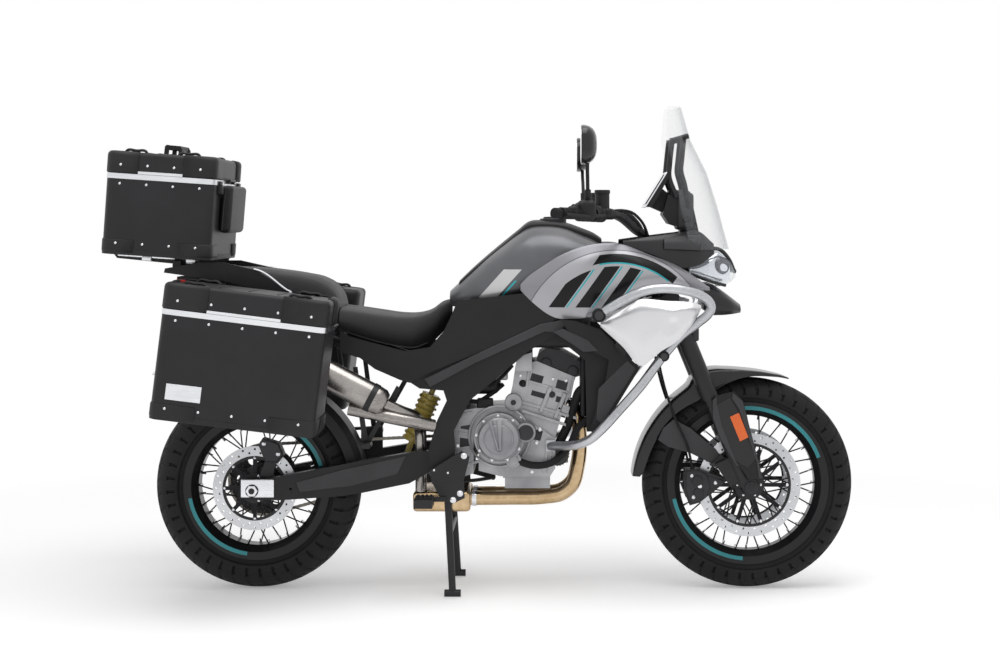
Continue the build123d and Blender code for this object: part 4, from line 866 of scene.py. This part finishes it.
piece("coolant_hoses", [
    pipe([(235, -85, 462), (262, -88, 520), (284, -90, 590), (300, -95, 625), (322, -95, 636)], 14, 16, 40),
    pipe([(110, -140, 412), (150, -138, 400), (205, -128, 404), (262, -110, 450), (300, -105, 520),
          (322, -105, 535)], 11, 14, 48),
    pipe([(60, -60, 640), (20, -80, 610), (-20, -90, 590), (-60, -90, 600), (-90, -100, 640)], 7, 10, 40),
    pipe([(90, -80, 700), (50, -100, 660), (20, -100, 640), (0, -90, 660)], 5, 10, 30)], "rubber")
piece("throttle_bodies", [*(turned((70, y, 685), (-0.9, 0, 0.45), [(27, -6), (27, 12), (24, 14)], 28)
                            for y in (45, -45)), block((20, -85, 655), (75, -66, 705), 6)], "cast_silver")
piece("plug_leads", [cap((130, -74, 640), (-0.4, -1, 0.3), 11, 30, 3, 20),
                     block((-20, -100, 560), (30, -72, 600), 5),
                     block((-85, -100, 572), (-40, -75, 612), 5)], "satin_plastic")
piece("airbox", [block((-20, -118, 757), (330, 118, 880), 20), block((300, -112, 545), (316, 112, 800), 6),
                 block((-60, -80, 610), (50, 80, 740), 20)], "satin_plastic")
piece("radiator_fins", strewn(block((357, -145, -0.7), (359.5, 145, 0.7), 0.5, 1),
                              [(0, 0, z) for z in np.linspace(512, 653, 42)]), "black_steel")

# exhaust
HEADER = [(250.6, 45, 571.8), (270, 45, 564.5), (287, 45, 545), (297, 45, 500), (299, 45, 440),
          (292, 45, 380), (275, 45, 325), (240, 45, 297), (190, 45, 288), (80, 45, 285), (-42, 45, 284)]
piece("header_pipes", [*both_sides(pipe(HEADER, 22, 24, 110)),
                       block((-218, -100, 249.5), (-40, 100, 312), 12, 5)],
      "bronze_pipe", stands_for=("exhaust_headers",))
piece("header_clamps", both_sides([hoop((-30, 45, 284.2), AHEAD, 24.5, 22.5, -7, 7, 32),
                                   hoop((262, 45, 567.5), (0.9, 0, -0.35), 24.5, 22.5, -7, 7, 32)]),
      "bright_metal")
MUFFLER = [(20, -4), (34, 0), (43, 12), (44.5, 30), (44.5, 315), (47, 318), (47, 340), (43.5, 345),
           (36, 362), (23.5, 365.5), (21.5, 365.5), (21.5, 330), (2, 330)]
INLET, AIM = np.array([-296, -186, 590]), np.array([-324, 0, 170])
LINK_PIPE = [(-194, -76, 310), (-194, -76, 440), (-196, -84, 500), (-206, -130, 545),
             (-245, -168, 567), (-305, -186, 595.5)]
piece("muffler_body", [turned(INLET, AIM, MUFFLER, 56), pipe(LINK_PIPE, 18, 20, 60)],
      "muffler_steel", stands_for=("muffler",))
piece("muffler_straps", [hoop(INLET + AIM / np.linalg.norm(AIM) * far, AIM, 46.5, 44.7, -9, 9)
                         for far in (45, 235)], "black_steel")
piece("mid_pipe_shield", pipe([(-405, -186, 578), (-325, -190, 562), (-250, -186, 546),
                               (-190, -168, 532), (-150, -150, 522)], 19.5, 18, 40), "muffler_steel")


# ---------------------------------------------------------------- chassis fittings
spring_foot, spring_head = np.array([-226, 0, 462]), np.array([-170, 0, 598])
spring_way = (spring_head - spring_foot) / np.linalg.norm(spring_head - spring_foot)
coil_turn = np.linspace(0, 8.5 * TURN, 260)
coil = (spring_foot + np.outer(coil_turn / coil_turn[-1], spring_head - spring_foot)
        + 30 * (np.outer(np.cos(coil_turn), np.cross(spring_way, LEFT)) + np.outer(np.sin(coil_turn), LEFT)))
piece("shock_coil", pipe(coil, 4.5, 8, 520), "spring_yellow")
axle_x, _, axle_z = REAR_AXLE
piece("axle_blocks", both_sides([block((-742, 131, 300), (-640, 138.5, 356), 3),
                                 cap((axle_x, 138, axle_z), LEFT, 19, 9, 3, 6)]), "case_trim")
# dark discs on the axle ends: painted shade standing for the hollow inside each end
piece("axle_hollow_shade", both_sides(cap((axle_x, 146.5, axle_z), LEFT, 9.5, 1.2, 0.3)), "black_steel")
piece("swingarm_facets", panels(([(-573, 347), (-423, 388), (-235, 428), (-262, 372), (-402, 336),
                                  (-561, 316)], 131, 134.5)), "smoke_plastic", edge=2)
# raised rails along the side panels, in a lighter plastic that paints the highlights along their ridges
piece("side_rails_with_highlight", panels(([(-178, 667), (-38, 734), (175, 834), (236, 847), (262, 836), (226, 809),
                             (190, 812), (-23, 715), (-159, 642)], 171, 177)), "smoke_plastic", edge=2.5)
piece("deflector_facets",
      panels(([(215, 812), (245, 822), (321, 788), (352, 755), (306, 752), (272, 776)], 199, 203),
             ([(352, 640), (440, 728), (466, 702), (362, 535), (345, 548)], 199, 202.5)),
      "smoke_plastic", edge=2)
piece("footrest_bolts",
      both_sides([*bolts([(-55, -192, 436), (-88, -192, 302), (-67, -192, 322)], 7.5, 6),
                  rivets([(-104, -192, 384), (-146, -192, 392)], RIGHT, 4, 3)]), "bright_metal")
piece("footrest_pads", both_sides([block((x - 4, 204, 317.5), (x + 4, 286, 321.5), 1.5)
                                   for x in np.linspace(-192, -153, 4)]), "rubber")
piece("gear_lever", [pipe([(-95, 193, 300), (-40, 198, 302), (20, 205, 310)], 6, 12, 24),
                     turned((20, 203, 310), LEFT, [(8, 0), (8, 30), (6, 33)], 20)], "black_steel")
piece("passenger_pegs", [*panels(([(-398, 700), (-384, 702), (-352, 470), (-368, 462)], 135, 140),
                                 ([(-264, 644), (-252, 634), (-348, 462), (-362, 468)], 135, 140)),
                         *both_sides(block((-370, 138, 458), (-338, 205, 474), 4))],
      "black_steel", edge=1.5)
SEAT_EDGE = [(-440, -142.5, 817), (-381, -145.5, 797), (-319, -145.5, 779), (-257, -139, 765),
             (-211, -130, 760.5), (-172, -108, 772)]
piece("seat_piping", both_sides(pipe(SEAT_EDGE, 2.2, 8, 60)), "smoke_plastic")

# crash bars: a tube down each side, and rubber collars where it turns in, each with a plug
CRASH = [(326, 152, 862), (326, 180, 862), (333, 205, 858), (343, 240, 860), (372, 266, 880), (425, 278, 912),
         (474, 284, 936), (520, 286, 946), (563, 285, 947), (612, 279, 940), (655, 270, 926), (680, 257, 908),
         (689, 245, 890), (682, 230, 868), (658, 214, 845), (602, 206, 801), (550, 214, 744), (475, 236, 648),
         (415, 239, 581), (360, 237, 521), (330, 222, 492), (290, 190, 470), (240, 140, 459), (205, 112, 455)]
piece("crash_tubes", [*both_sides(pipe(CRASH, 14.2, 18, 200)),
                      *panels(([(194, 440), (221, 440), (221, 474), (194, 474)], 105, 120))],
      "brushed_rail", stands_for=("crash_bars",))
COLLARS = [((352, -262, 866), 20.5, 13.5), ((549, -214, 741), 16.5, 10.5)]
piece("crash_bar_collars", both_sides([
    turned(place, RIGHT, [(size, -16), (size, 13), (size * 0.86, 16), (size * 0.72, 16.5)])
    for place, size, _ in COLLARS]), "rubber")
piece("crash_bar_cores", both_sides([cap(np.add(place, (0, -16.5, 0)), RIGHT, plug, 2, 0.6)
                                     for place, _, plug in COLLARS]), "smoke_plastic")

# lamp, screen and cockpit
LAMP = [(636, [(88, 977), (109, 992), (108, 1006), (94, 1020), (0, 1024)]),
        (668, [(88, 962), (108, 985), (108, 1006), (90, 1032), (0, 1040)]),
        (700, [(85, 950), (104, 980), (103, 1010), (82, 1044), (0, 1056)]),
        (735, [(74, 946), (92, 976), (90, 1010), (68, 1054), (0, 1062)]),
        (765, [(60, 957), (76, 978), (74, 1000), (52, 1030), (0, 1036)]),
        (784, [(40, 973), (47, 980), (46, 986), (38, 992), (0, 993)])]
piece("lamp_cover", hull(LAMP, 40, 24), "lamp_clear", stands_for=("headlight",))
BOWL = [(x, [(y * 0.86, (z - 1000) * 0.84 + 1000) for y, z in points]) for x, points in LAMP[:-1]]
piece("lamp_bowl", hull(BOWL, 30, 20), "lamp_white")
piece("lamp_eyes", both_sides(turned((739, 70, 1009), (0.6, 1, 0.1),
                                     [(27, -6), (27, 5), (23, 9), (16, 5), (4, 3)], 36)), "dark_glass")
piece("lamp_brow", [*both_sides([pipe([(640, -100, 1040), (690, -92, 1062), (730, -78, 1060),
                                       (762, -58, 1030), (781, -44, 990)], 6, 10, 40),
                                 pipe([(640, -100, 985), (700, -98, 962), (750, -72, 948)], 5, 8, 24)]),
                    pipe([(781, -44, 990), (786, 0, 992.5), (781, 44, 990)], 6, 10, 20)], "gloss_plastic")
piece("screen_struts", [
    *both_sides([pipe([(598, 75, 1222), (574, 75, 1292), (576, 75, 1320), (584, 75, 1396)], 8.5, 12, 40),
                 pipe([(636, 75, 1190), (622, 75, 1262), (611, 75, 1306), (614, 75, 1340),
                       (620, 75, 1402)], 8.5, 12, 40),
                 pipe([(578, 75, 1396), (605, 75, 1403), (634, 67.5, 1412)], 8.5, 12, 20)]),
    pipe([(590, -75, 1400), (590, 75, 1400)], 6, 12, 6)], "black_steel", stands_for=("screen_frame",))
piece("display_bezel", slab([(497, 1190), (565.5, 1300), (569, 1298.5), (501, 1188.5)], -93, 93),
      "case_trim", edge=1)
piece("display_glass", slab([(502, 1201), (559, 1292), (557, 1293), (500, 1202)], -85, 85), "dark_glass")
piece("cockpit_cowl", [block((600, -78, 1120), (652, 78, 1236), 12),
                       block((575, -60, 1190), (640, 60, 1245), 10)], "smoke_plastic")

# rear: caliper, rack, lamps and backrest
piece("rear_caliper_face", panels(([(-690, 462), (-678, 478), (-632, 462), (-618, 428), (-638, 404),
                                    (-670, 406)], 103, 110, -1)), "cover_dark", edge=3)
piece("rear_caliper_bolts", bolts([(-676, -110, 462), (-632, -110, 430)], 5, 5), "bright_metal")
piece("rack_strips", both_sides(pipe([(-700, -148.5, 1000.5), (-690, -148.5, 998), (-600, -148.5, 937.5),
                                      (-586, -148.5, 928.5), (-592, -148.5, 926.2), (-622, -148.5, 926.2)],
                                     3.5, 8, 80)), "case_trim")
piece("tail_lamp", block((-958, -52, 946), (-946, 52, 972), 4), "red_lens")
piece("turn_lamps", both_sides(block((-934, 117, 887), (-924, 143, 913), 3)), "amber")


def backrest_pad():
    """A padded block leaned with the case: round edges, its face bulging a little at mid height."""
    points, faces = block((-17, -119, -73), (19, 119, 73), 14, 6)
    x, y, z = points.T
    bulge = 4 * np.clip(1 - (y / 100) ** 2, 0, 1) * (x > 10)
    return np.column_stack([x + bulge + 0.080 * z, y, z]) + np.array([-792.5, 0, 1184]), faces


piece("backrest_pad", backrest_pad(), "vinyl", stands_for=("backrest",))
piece("backrest_seam", pipe([(-790.5, -119.2, 1250), (-798.5, -119.6, 1180), (-803.5, -119.2, 1118)],
                            2, 6, 20), "smoke_plastic")


# ---------------------------------------------------------------- steering
def pillow(centre, half_y, half_z, profile, steps=48, power=0.72):
    """A body whose outline across the machine is a rounded rectangle, scaled by each (distance
    ahead, scale) of a profile."""
    angle = np.linspace(0, TURN, steps, endpoint=False)
    ring = np.column_stack([np.sign(wave) * np.abs(wave) ** power * half for wave, half in
                            ((np.cos(angle), half_y), (np.sin(angle), half_z))])
    rows = [np.column_stack([np.full(steps, centre[0] + ahead), centre[1] + ring[:, 0] * scale,
                             centre[2] + ring[:, 1] * scale]) for ahead, scale in profile]
    return grid(np.array(rows), wrap_cols=True, ends=True)


MIRROR_DOME = [(2, 0.90), (0, 0.965), (2, 0.99), (6, 1.0), (14, 0.985), (24, 0.93), (33, 0.83), (40, 0.67),
               (44.5, 0.45), (46, 0.2)]
for name, profile, finish, nodes in (("mirror_shells", MIRROR_DOME, "gloss_plastic", ("mirrors",)),
                                     ("mirror_faces", [(3, 0.9), (-0.4, 0.9)], "mirror_glass", ())):
    piece(name, both_sides(pillow((296, 392, 1370.5), 80, 57.5, profile)), finish, "steering",
          stands_for=nodes)

# the right bar runs straight from its bend to its tip; what sits on it is given by its distance along
BEND, TIP = np.array([412, -210, 1168]), np.array([226, -425, 1171])
BAR_WAY = (TIP - BEND) / np.linalg.norm(TIP - BEND)
right_half = [*(BEND + (TIP - BEND) * share for share in (1.0, 0.6, 0.25, 0.04)), (430, -182, 1158),
              (482, -116, 1114), (497.5, -85, 1104.5), (498.6, -40, 1103.6)]
left_half = [np.multiply(point, MIRRORED) for point in right_half[::-1]]
piece("bar_tube", pipe(np.array([*right_half, *left_half]), 11, 16, 160), "black_steel", "steering",
      stands_for=("handlebar",))
RIDGES = [(16.2 + 1.1 * (k % 2), 138 + 4.2 * k) for k in range(30)]
piece("bar_grips",
      both_sides([turned(BEND, BAR_WAY, [(11.5, 128), (18.5, 129), (18.5, 134), *RIDGES, (17.5, 268),
                                         (11.5, 270)], 28),
                  turned(BEND, BAR_WAY, [(11.5, 268), (11.5, 274), (15.5, 275.5), (15.5, 296),
                                         (13.5, 299), (4, 299.5)], 24)]),
      "rubber", "steering", stands_for=("bar_controls",))
SWITCHES = [(11.5, 72), (22, 74), (25, 80), (25, 98), (21, 102), (21, 112), (24.5, 115), (24.5, 126),
            (11.5, 128)]
LEVER = [(384, -250, 1166), (366, -300, 1163), (318, -362, 1162), (262, -418, 1166), (252, -428, 1167)]
MIRROR_STEM = [(317, -332, 1238), (316, -350, 1275), (315, -372, 1300), (315, -384, 1320)]
piece("bar_fittings", both_sides([
    turned(BEND, BAR_WAY, SWITCHES),
    turned(BEND, BAR_WAY, [(11.5, 30), (16.5, 31), (16.5, 62), (11.5, 63)], 24),
    block((284, -362, 1146), (342, -290, 1210), 18, 5),
    block((256, -392, 1156), (288, -352, 1192), 10, 4),
    turned((300, -345, 1178), (-0.5, -0.4, 0.2), [(10, 20), (10, 37), (7, 40)], 16),
    block((352, -290, 1158), (392, -236, 1186), 8),
    cap((362, -264, 1185), UPWARD, 21.5, 47, 3, 40),
    cap((362, -264, 1230), UPWARD, 23.5, 11, 3, 40),
    pipe(LEVER, np.linspace(7.5, 5, 40), 12, 40),
    pipe([(322, -318, 1192), (318, -326, 1215), (317, -332, 1240)], 9.5, 14, 16),
    pipe(MIRROR_STEM, 5.5, 12, 30)]), "satin_plastic", "steering")
piece("bar_cables", both_sides([
    pipe([(392, -236, 1178), (425, -196, 1180), (462, -152, 1170), (494, -118, 1136), (510, -96, 1096)],
         4.5, 10, 50),
    pipe([(372, -246, 1158), (412, -190, 1176), (450, -146, 1160), (482, -112, 1128), (500, -86, 1090)],
         3.5, 10, 50)]), "rubber", "steering")
CALIPER_LINE = [(560, -82, 890), (548, -88, 820), (540, -90, 740), (556, -91, 650), (592, -91, 540),
                (634, -91, 440), (646, -91, 381)]
piece("caliper_lines", both_sides([pipe(CALIPER_LINE, 3.8, 10, 70),
                                   turned(CALIPER_LINE[-1], UPWARD, [(7, -2), (7, 6), (5, 8)], 12)]),
      "rubber", "steering")


def fender_shell():
    """Radius, half width and skirt depth given at a few angles about the axle, smooth between; the
    section is a flat crown with rounded shoulders and straight skirts."""
    table = np.array([(68, 352, 14, 4), (73, 353, 34, 8), (80, 352, 54, 12), (90, 355, 66, 20),
                      (100, 365, 72, 40), (108, 377, 75, 62), (113, 381, 75, 72), (118, 372, 75, 66),
                      (124, 357, 74, 50), (136, 356, 73, 40), (150, 357, 72, 38), (163, 360, 71, 38),
                      (172, 362, 68, 34), (176, 363, 62, 24)], float)
    degrees, radius, half, skirt = through(table, 90).T[:, :, None]
    angle = np.radians(degrees)
    out = np.array([0, 0.35, 0.72, 0.9, 0.985, 1, 1])
    drop = np.array([-0.03, -0.02, 0.0, 0.045, 0.16, 0.45, 1])
    out, drop = np.concatenate([-out[:0:-1], out]), np.concatenate([drop[:0:-1], drop])
    reach = radius - skirt * drop
    return grid(across_rows(about(FRONT_AXLE, reach, half * out, angle), 49))


piece("fender_shell", fender_shell(), "gloss_plastic", "steering", wall=3, stands_for=("front_fender",))
# brace panels in a lighter plastic; the first also paints the highlight on the fender's lower rear skirt
piece("fender_braces_with_highlight",
      panels(([(540, 470), (556, 506), (588, 534), (642, 506), (720, 440), (746, 402), (712, 394),
               (640, 429), (572, 448)], 74.5, 79),
             ([(700, 392), (742, 380), (762, 402), (735, 426)], 76, 92)),
      "smoke_plastic", "steering", edge=1.5)
piece("guard_panels", panels(([(716, 586), (757, 606), (779, 572), (836, 420), (812, 392), (774, 412),
                               (731, 520)], 139.5, 142)), "gloss_plastic", "steering", edge=1)
# raised edges of the fork guards, in a lighter plastic that paints the highlight along them
piece("guard_edges_with_highlight",
      panels(([(765, 622), (795, 596), (857, 360), (845, 360), (838, 410), (783, 574), (762, 606)],
              139.5, 144),
             ([(703, 600), (716, 611), (717, 586), (732, 520), (776, 410), (786, 398), (776, 400),
               (728, 480), (704, 545)], 139.5, 144)), "smoke_plastic", "steering", edge=1.5)
piece("side_reflectors", panels(([(756, 549), (784, 561), (813, 486), (787, 473)], 141.5, 145.5)),
      "amber", "steering", edge=1.5)
piece("caliper_faces",
      panels(([(626, 376), (668, 377), (690, 366), (700, 330), (688, 300), (664, 283), (642, 276),
               (625, 318)], 98, 105),
             ([(690, 362), (742, 348), (742, 338), (700, 320)], 98, 103)),
      "cover_dark", "steering", edge=3)
piece("caliper_bolts", both_sides([*bolts([(643, -105, 362), (648, -105, 296), (716, -103, 340)], 4.2, 5),
                                   cap((668, -105, 330), RIGHT, 7, 3)]), "bright_metal", "steering")
piece("caliper_pistons", both_sides([cap((x, 104.5, z), LEFT, 16.5, 5) for x, z in ((660, 347), (664, 309))]),
      "black_steel", "steering")
piece("fork_feet", both_sides([cap((FRONT_AXLE[0], 125, FRONT_AXLE[2]), LEFT, 20, 6),
                               block((640, 88, 778), (664, 122, 835), 6)]), "cover_dark", "steering")


# ---------------------------------------------------------------- luggage
PANNIER = dict(corner=(-906, 900), tilt=7.0, length=475, width=235, height=318, lid=74, rounding=26,
               reach=105, rivets=5)
TOP_CASE = dict(corner=(-1135.85, 1296), tilt=3.9, length=331, width=430, height=245, lid=66,
                rounding=28, reach=70, rivets=4)
PANNIER_Y = 367.5
CORNER_STEPS, CAP_LIP, CAP_RISE, RIVET = 6, 20, 2.6, (4.4, 2.6)


def case_frame(case, y_middle):
    """Turns a box's own (along, across, up) points, centred on its seam, into places."""
    lean = np.radians(case["tilt"])
    along = np.array([np.cos(lean), 0, -np.sin(lean)])
    up = np.array([np.sin(lean), 0, np.cos(lean)])
    middle = np.array([case["corner"][0], y_middle, case["corner"][1]]) + along * case["length"] / 2
    return lambda p: middle + p[:, :1] * along + p[:, 1:2] * LEFT + p[:, 2:] * up


def half_plan(case):
    """Half the length and width of the box between its corners' rounds."""
    return np.array([case["length"], case["width"]]) / 2 - case["rounding"]


def plan(case, proud):
    """Rounded rectangle round the box, a little outside it, and its outward directions."""
    angle = four_corners(CORNER_STEPS)
    corner = np.repeat([[1, 1], [-1, 1], [-1, -1], [1, -1]], CORNER_STEPS + 1, 0)
    out = np.column_stack([np.cos(angle), np.sin(angle)])
    return corner * half_plan(case) + out * (case["rounding"] + proud), out


def at_height(line, up):
    return np.column_stack([line, np.full(len(line), up)])


def collar(case, low, high, proud, wall=2.2, soften=1.2):
    """A closed strip round the box between two heights, with softened edges."""
    outer, out = plan(case, proud)
    back, _ = plan(case, -1)
    profile = [(-wall, low), (0, low + soften), (0, high - soften), (-wall, high)]
    rows = [at_height(outer + out * lift, up) for lift, up in profile]
    return grid(np.array([*rows, at_height(back, high), at_height(back, low)]),
                wrap_rows=True, wrap_cols=True)


def bend(count, radius=14):
    """Insets and drops of a quarter round from an upright face over onto a flat one."""
    angle = np.linspace(0, TURN / 4, count)
    return np.column_stack([radius * (np.cos(angle) - 1), radius * (np.sin(angle) - 1)])


def lid_shell(case):
    """A lid whose upright faces roll over onto a flat top, closed beneath at the seam."""
    profile = np.concatenate([[[-20, 0.5], [0, 0.5]], bend(6) + (0, case["lid"]), [[-24, case["lid"]]]])
    return grid(np.array([at_height(plan(case, inset)[0], up) for inset, up in profile]),
                wrap_cols=True, ends=True)


def corner_caps(case, start, end, proud=2.8):
    """A moulded cap on each upright corner: it follows the corner's round, runs along both sides by
    the reach, and its end rolls over onto the top or under the bottom."""
    half, reach, turn = half_plan(case), case["reach"], np.sign(end - start)
    line, way = (values[:CORNER_STEPS + 1] for values in plan(case, proud))
    line = np.concatenate([[[line[0, 0], half[1] - reach]], line, [[half[0] - reach, line[-1, 1]]]])
    way = np.concatenate([[[1, 0]], way, [[0, 1]]])
    profile = np.concatenate([[[-1.5, start], [0, start + turn * 3]],
                              bend(5) * (1, turn) + (0, end), [[-CAP_LIP, end]]])
    sheet = grid(np.array([at_height(line + way * lift, up) for lift, up in profile]))
    return [moved(sheet, lambda p, flip=(sx, sy, 1): p * flip) for sx in (1, -1) for sy in (1, -1)]


def case_rivets(case, up, under_caps=True):
    """Rivets along the two long sides and three on the rear end; those on a cap stand prouder."""
    half_l, half_w, count = case["length"] / 2, case["width"] / 2, case["rivets"]
    along = np.linspace(-1, 1, count) * (half_l - 45)
    on_cap = under_caps & (np.abs(along) > half_l - case["rounding"] - case["reach"])
    side = rivets(np.column_stack([along, half_w + CAP_RISE * on_cap, np.full(count, up)]), LEFT, *RIVET)
    end = rivets([(half_l, y, up) for y in (-50, 0, 50)], (1, 0, 0), *RIVET)
    return [*both_sides(side), moved(end, lambda p: p * (-1, 1, 1))]


def catch(case, y, z):
    """A lid catch on a box's rear end: base plate, lever and hook."""
    layers = [block((0, -16, -40), (4, 16, 12), 1.5), block((3, -13, -36), (9, 13, 4), 2),
              block((3, -9, -2), (11, 9, 26), 2)]
    return [moved(shape, lambda p: p * (-1, 1, 1) + (-case["length"] / 2, y, z)) for shape in layers]


def dress_case(prefix, case, y_middle, lid_body):
    """Strip, caps, rivets and pressed lid of one box; gives back what fits more pieces to it."""
    put = case_frame(case, y_middle)
    top, floor = case["lid"], -case["height"]
    half_l, half_w = case["length"] / 2, case["width"] / 2
    bare = half_l - case["rounding"] - case["reach"]

    def fit(name, shapes, finish, body="chassis", **more):
        piece(f"{prefix}_{name}", [moved(shape, put) for shape in several(shapes)], finish, body, **more)

    fit("cover", lid_shell(case), "case_black", lid_body, stands_for=(f"{prefix}_lid",))
    fit("seam_strip", collar(case, -17, -0.2, 1.8, soften=0.5), "case_trim")
    fit("raised_strip", [block((-bare, way * half_w - 2.2, 0.2), (bare, way * half_w + 2.2, 8.5), 0.4)
                         for way in (-1, 1)], "case_trim", lid_body)
    fit("foot_caps", corner_caps(case, floor + 46, floor - 1.5), "cap_plastic", wall=2.5)
    fit("lid_caps", corner_caps(case, 1.2, top + 1.8), "cap_plastic", lid_body, wall=2.5)
    fit("foot_rail", collar(case, floor - 1, floor + 16, 1.2), "cap_plastic")
    fit("lid_bead", collar(case, 0.6, 8, 1.3), "cap_plastic", lid_body)
    fit("shell_rivets", case_rivets(case, -31, False) + case_rivets(case, floor + 34), "bright_metal")
    fit("lid_rivets", case_rivets(case, 26), "bright_metal", lid_body)
    fit("lid_ribs", [block((x - 4, 45 - half_w, top - 1), (x + 4, half_w - 45, top + 1.8), 1)
                     for x in np.linspace(70 - half_l, half_l - 70, 5)], "case_black", lid_body)
    arch = [(-34, -3), (-28, 4.5), (0, 5), (28, 4.5), (34, -3)]
    fit("strap_loops", [pipe([(x + far, y, top + lift) for far, lift in arch], 4.2, 8, 24)
                        for x in (85 - half_l, half_l - 85) for y in (19 - half_w, half_w - 19)],
        "cap_plastic", lid_body)
    return fit


rear_end = -PANNIER["length"] / 2
outer_face = PANNIER["width"] / 2
for side, word in ((1, "left"), (-1, "right")):
    fit = dress_case(f"pannier_{word}", PANNIER, side * PANNIER_Y, f"pannier_lid_{word}")
    fit("plate", block((-196, side * outer_face - 1.2, -258), (-94, side * outer_face + 1.2, -212), 1),
        "case_trim")
    fit("catch", catch(PANNIER, 0, -42), "case_trim")
    fit("hoop", pipe([(rear_end - out, y, z) for out, y, z in (
        (2, -30, -190), (18, -28, -200), (20, 0, -203), (18, 28, -200), (2, 30, -190))], 3.5, 10, 30),
        "bright_metal")
    fit("lock", turned((rear_end + 28, 0, PANNIER["lid"]), UPWARD, [(8.5, -2), (8.5, 5), (6, 6)], 20),
        "red_lens", f"pannier_lid_{word}")

fit = dress_case("top_case", TOP_CASE, 0, "top_case_lid")
HANDLE_LEGS = [[(-29, 62), (-27, 94), (-22, 99), (-16, 99), (-16, 62)],
               [(16, 62), (16, 98), (22, 96), (27, 88), (30, 62)]]
fit("handle", [*(slab(leg, low, low + 14) for leg in HANDLE_LEGS for low in (-62, 48)),
               slab([(-22, 84), (-22, 98.5), (22, 97.5), (24, 84)], -61.5, 61.5)],
    "cap_plastic", "top_case_lid")
fit("carrier", [*(pipe([(-135, y, -249), (0, y, -249.5), (120, y, -249)], 4.5, 8, 20) for y in (-118, 118)),
                *(block((x, y - 9, -262), (x + 30, y + 9, -246), 3) for x in (-60, 75) for y in (-118, 118))],
    "case_trim")
front_end = TOP_CASE["length"] / 2
fit("hinge_blocks", [block((front_end - 1, y - 18, low), (front_end + deep, y + 18, high), 3)
                     for y in (-150, 150) for low, high, deep in ((-44, -18, 14), (-18, -4, 9))],
    "cap_plastic")
fit("catches", [*catch(TOP_CASE, -120, -26), *catch(TOP_CASE, 120, -26)], "case_trim")


# ---------------------------------------------------------------- studio
def make_floor_finish():
    """White floor: its own light, seen by the camera and in reflections, plus what falls on it."""
    made, tree, shader, position = blank("studio_floor", Roughness=0.9, Specular_IOR_Level=0.0)
    grain = add(tree, "TexNoise", Vector=position, Scale=3.0)
    tree.links.new(tint(tree, grain.outputs[0], rgb(.93, .93, .93), rgb(.95, .95, .95)),
                   shader.inputs["Base Color"])
    glow = add(tree, "Emission", Color=rgb(1, 1, 1), Strength=0.28)
    near = add(tree, "AddShader", shader.outputs[0], glow.outputs[0])
    reach = vectors(tree, "LENGTH", position)["Value"]
    away = add(tree, "MapRange", Value=reach, From_Min=1.6, From_Max=3.0)
    white = add(tree, "Emission", Color=rgb(1, 1, 1), Strength=1.0)
    shown = add(tree, "MixShader", away.outputs[0], near.outputs[0], white.outputs[0])
    tree.links.new(shown.outputs[0], tree.nodes["Material Output"].inputs["Surface"])
    return made


def make_world():
    """White behind the object for the camera and reflections, and a softer light for the rest."""
    world = bpy.data.worlds.new("studio")
    world.use_nodes = True
    tree = world.node_tree
    tree.nodes.clear()
    path = add(tree, "LightPath").outputs
    seen = maths(tree, "MAXIMUM", path["Is Camera Ray"], path["Is Transmission Ray"])
    seen = maths(tree, "MAXIMUM", seen, path["Is Glossy Ray"])
    soft = add(tree, "Background", rgb(1, 1, 1), 0.55)
    white = add(tree, "Background", rgb(1, 1, 1), 1.0)
    shown = add(tree, "MixShader", seen, soft.outputs[0], white.outputs[0])
    tree.links.new(shown.outputs[0], tree.nodes.new("ShaderNodeOutputWorld").inputs["Surface"])
    bpy.context.scene.world = world


def lamp(name, place, aim, size, power):
    """A soft square lamp that faces a point."""
    data = bpy.data.lights.new(name, "AREA")
    data.shape, data.size, data.energy = "SQUARE", size, power
    made = bpy.data.objects.new(name, data)
    made.location = place
    way = np.subtract(aim, place)
    made.rotation_euler = (np.arccos(-way[2] / np.linalg.norm(way)), 0, np.arctan2(way[0], -way[1]))
    bpy.context.scene.collection.objects.link(made)


def make_floor(half=60.0):
    """A square floor, its half width in metres."""
    mesh = bpy.data.meshes.new("floor")
    mesh.from_pydata([(-half, -half, 0), (half, -half, 0), (half, half, 0), (-half, half, 0)], [],
                     [(0, 1, 2, 3)])
    mesh.materials.append(make_floor_finish())
    floor = bpy.data.objects.new("floor", mesh)
    bpy.context.scene.collection.objects.link(floor)


def make_camera():
    view = bpy.data.cameras.new("view")
    view.sensor_width, view.lens = 36.0, 60.66
    view.shift_x, view.shift_y = -0.05, -0.113
    camera = bpy.data.objects.new("view", view)
    camera.location = (0.2057, -5.3, 1.151)
    camera.rotation_euler = (TURN / 4, 0, 0)
    bpy.context.scene.collection.objects.link(camera)
    bpy.context.scene.camera = camera


make_world()
make_floor()
for name, place, aim, size, power in (("top_light", (0.2, -1.0, 4.2), (0, 0, 0.6), 3.2, 95),
                                      ("front_light", (3.6, -3.2, 2.4), (0, 0, 0.7), 2.0, 60),
                                      ("rear_light", (-3.4, -3.0, 2.2), (0, 0, 0.7), 2.0, 40),
                                      ("far_light", (0.0, 4.0, 2.8), (0, 0, 0.7), 2.4, 50)):
    lamp(name, place, aim, size, power)
make_camera()
bpy.context.scene.view_settings.view_transform = "Standard"
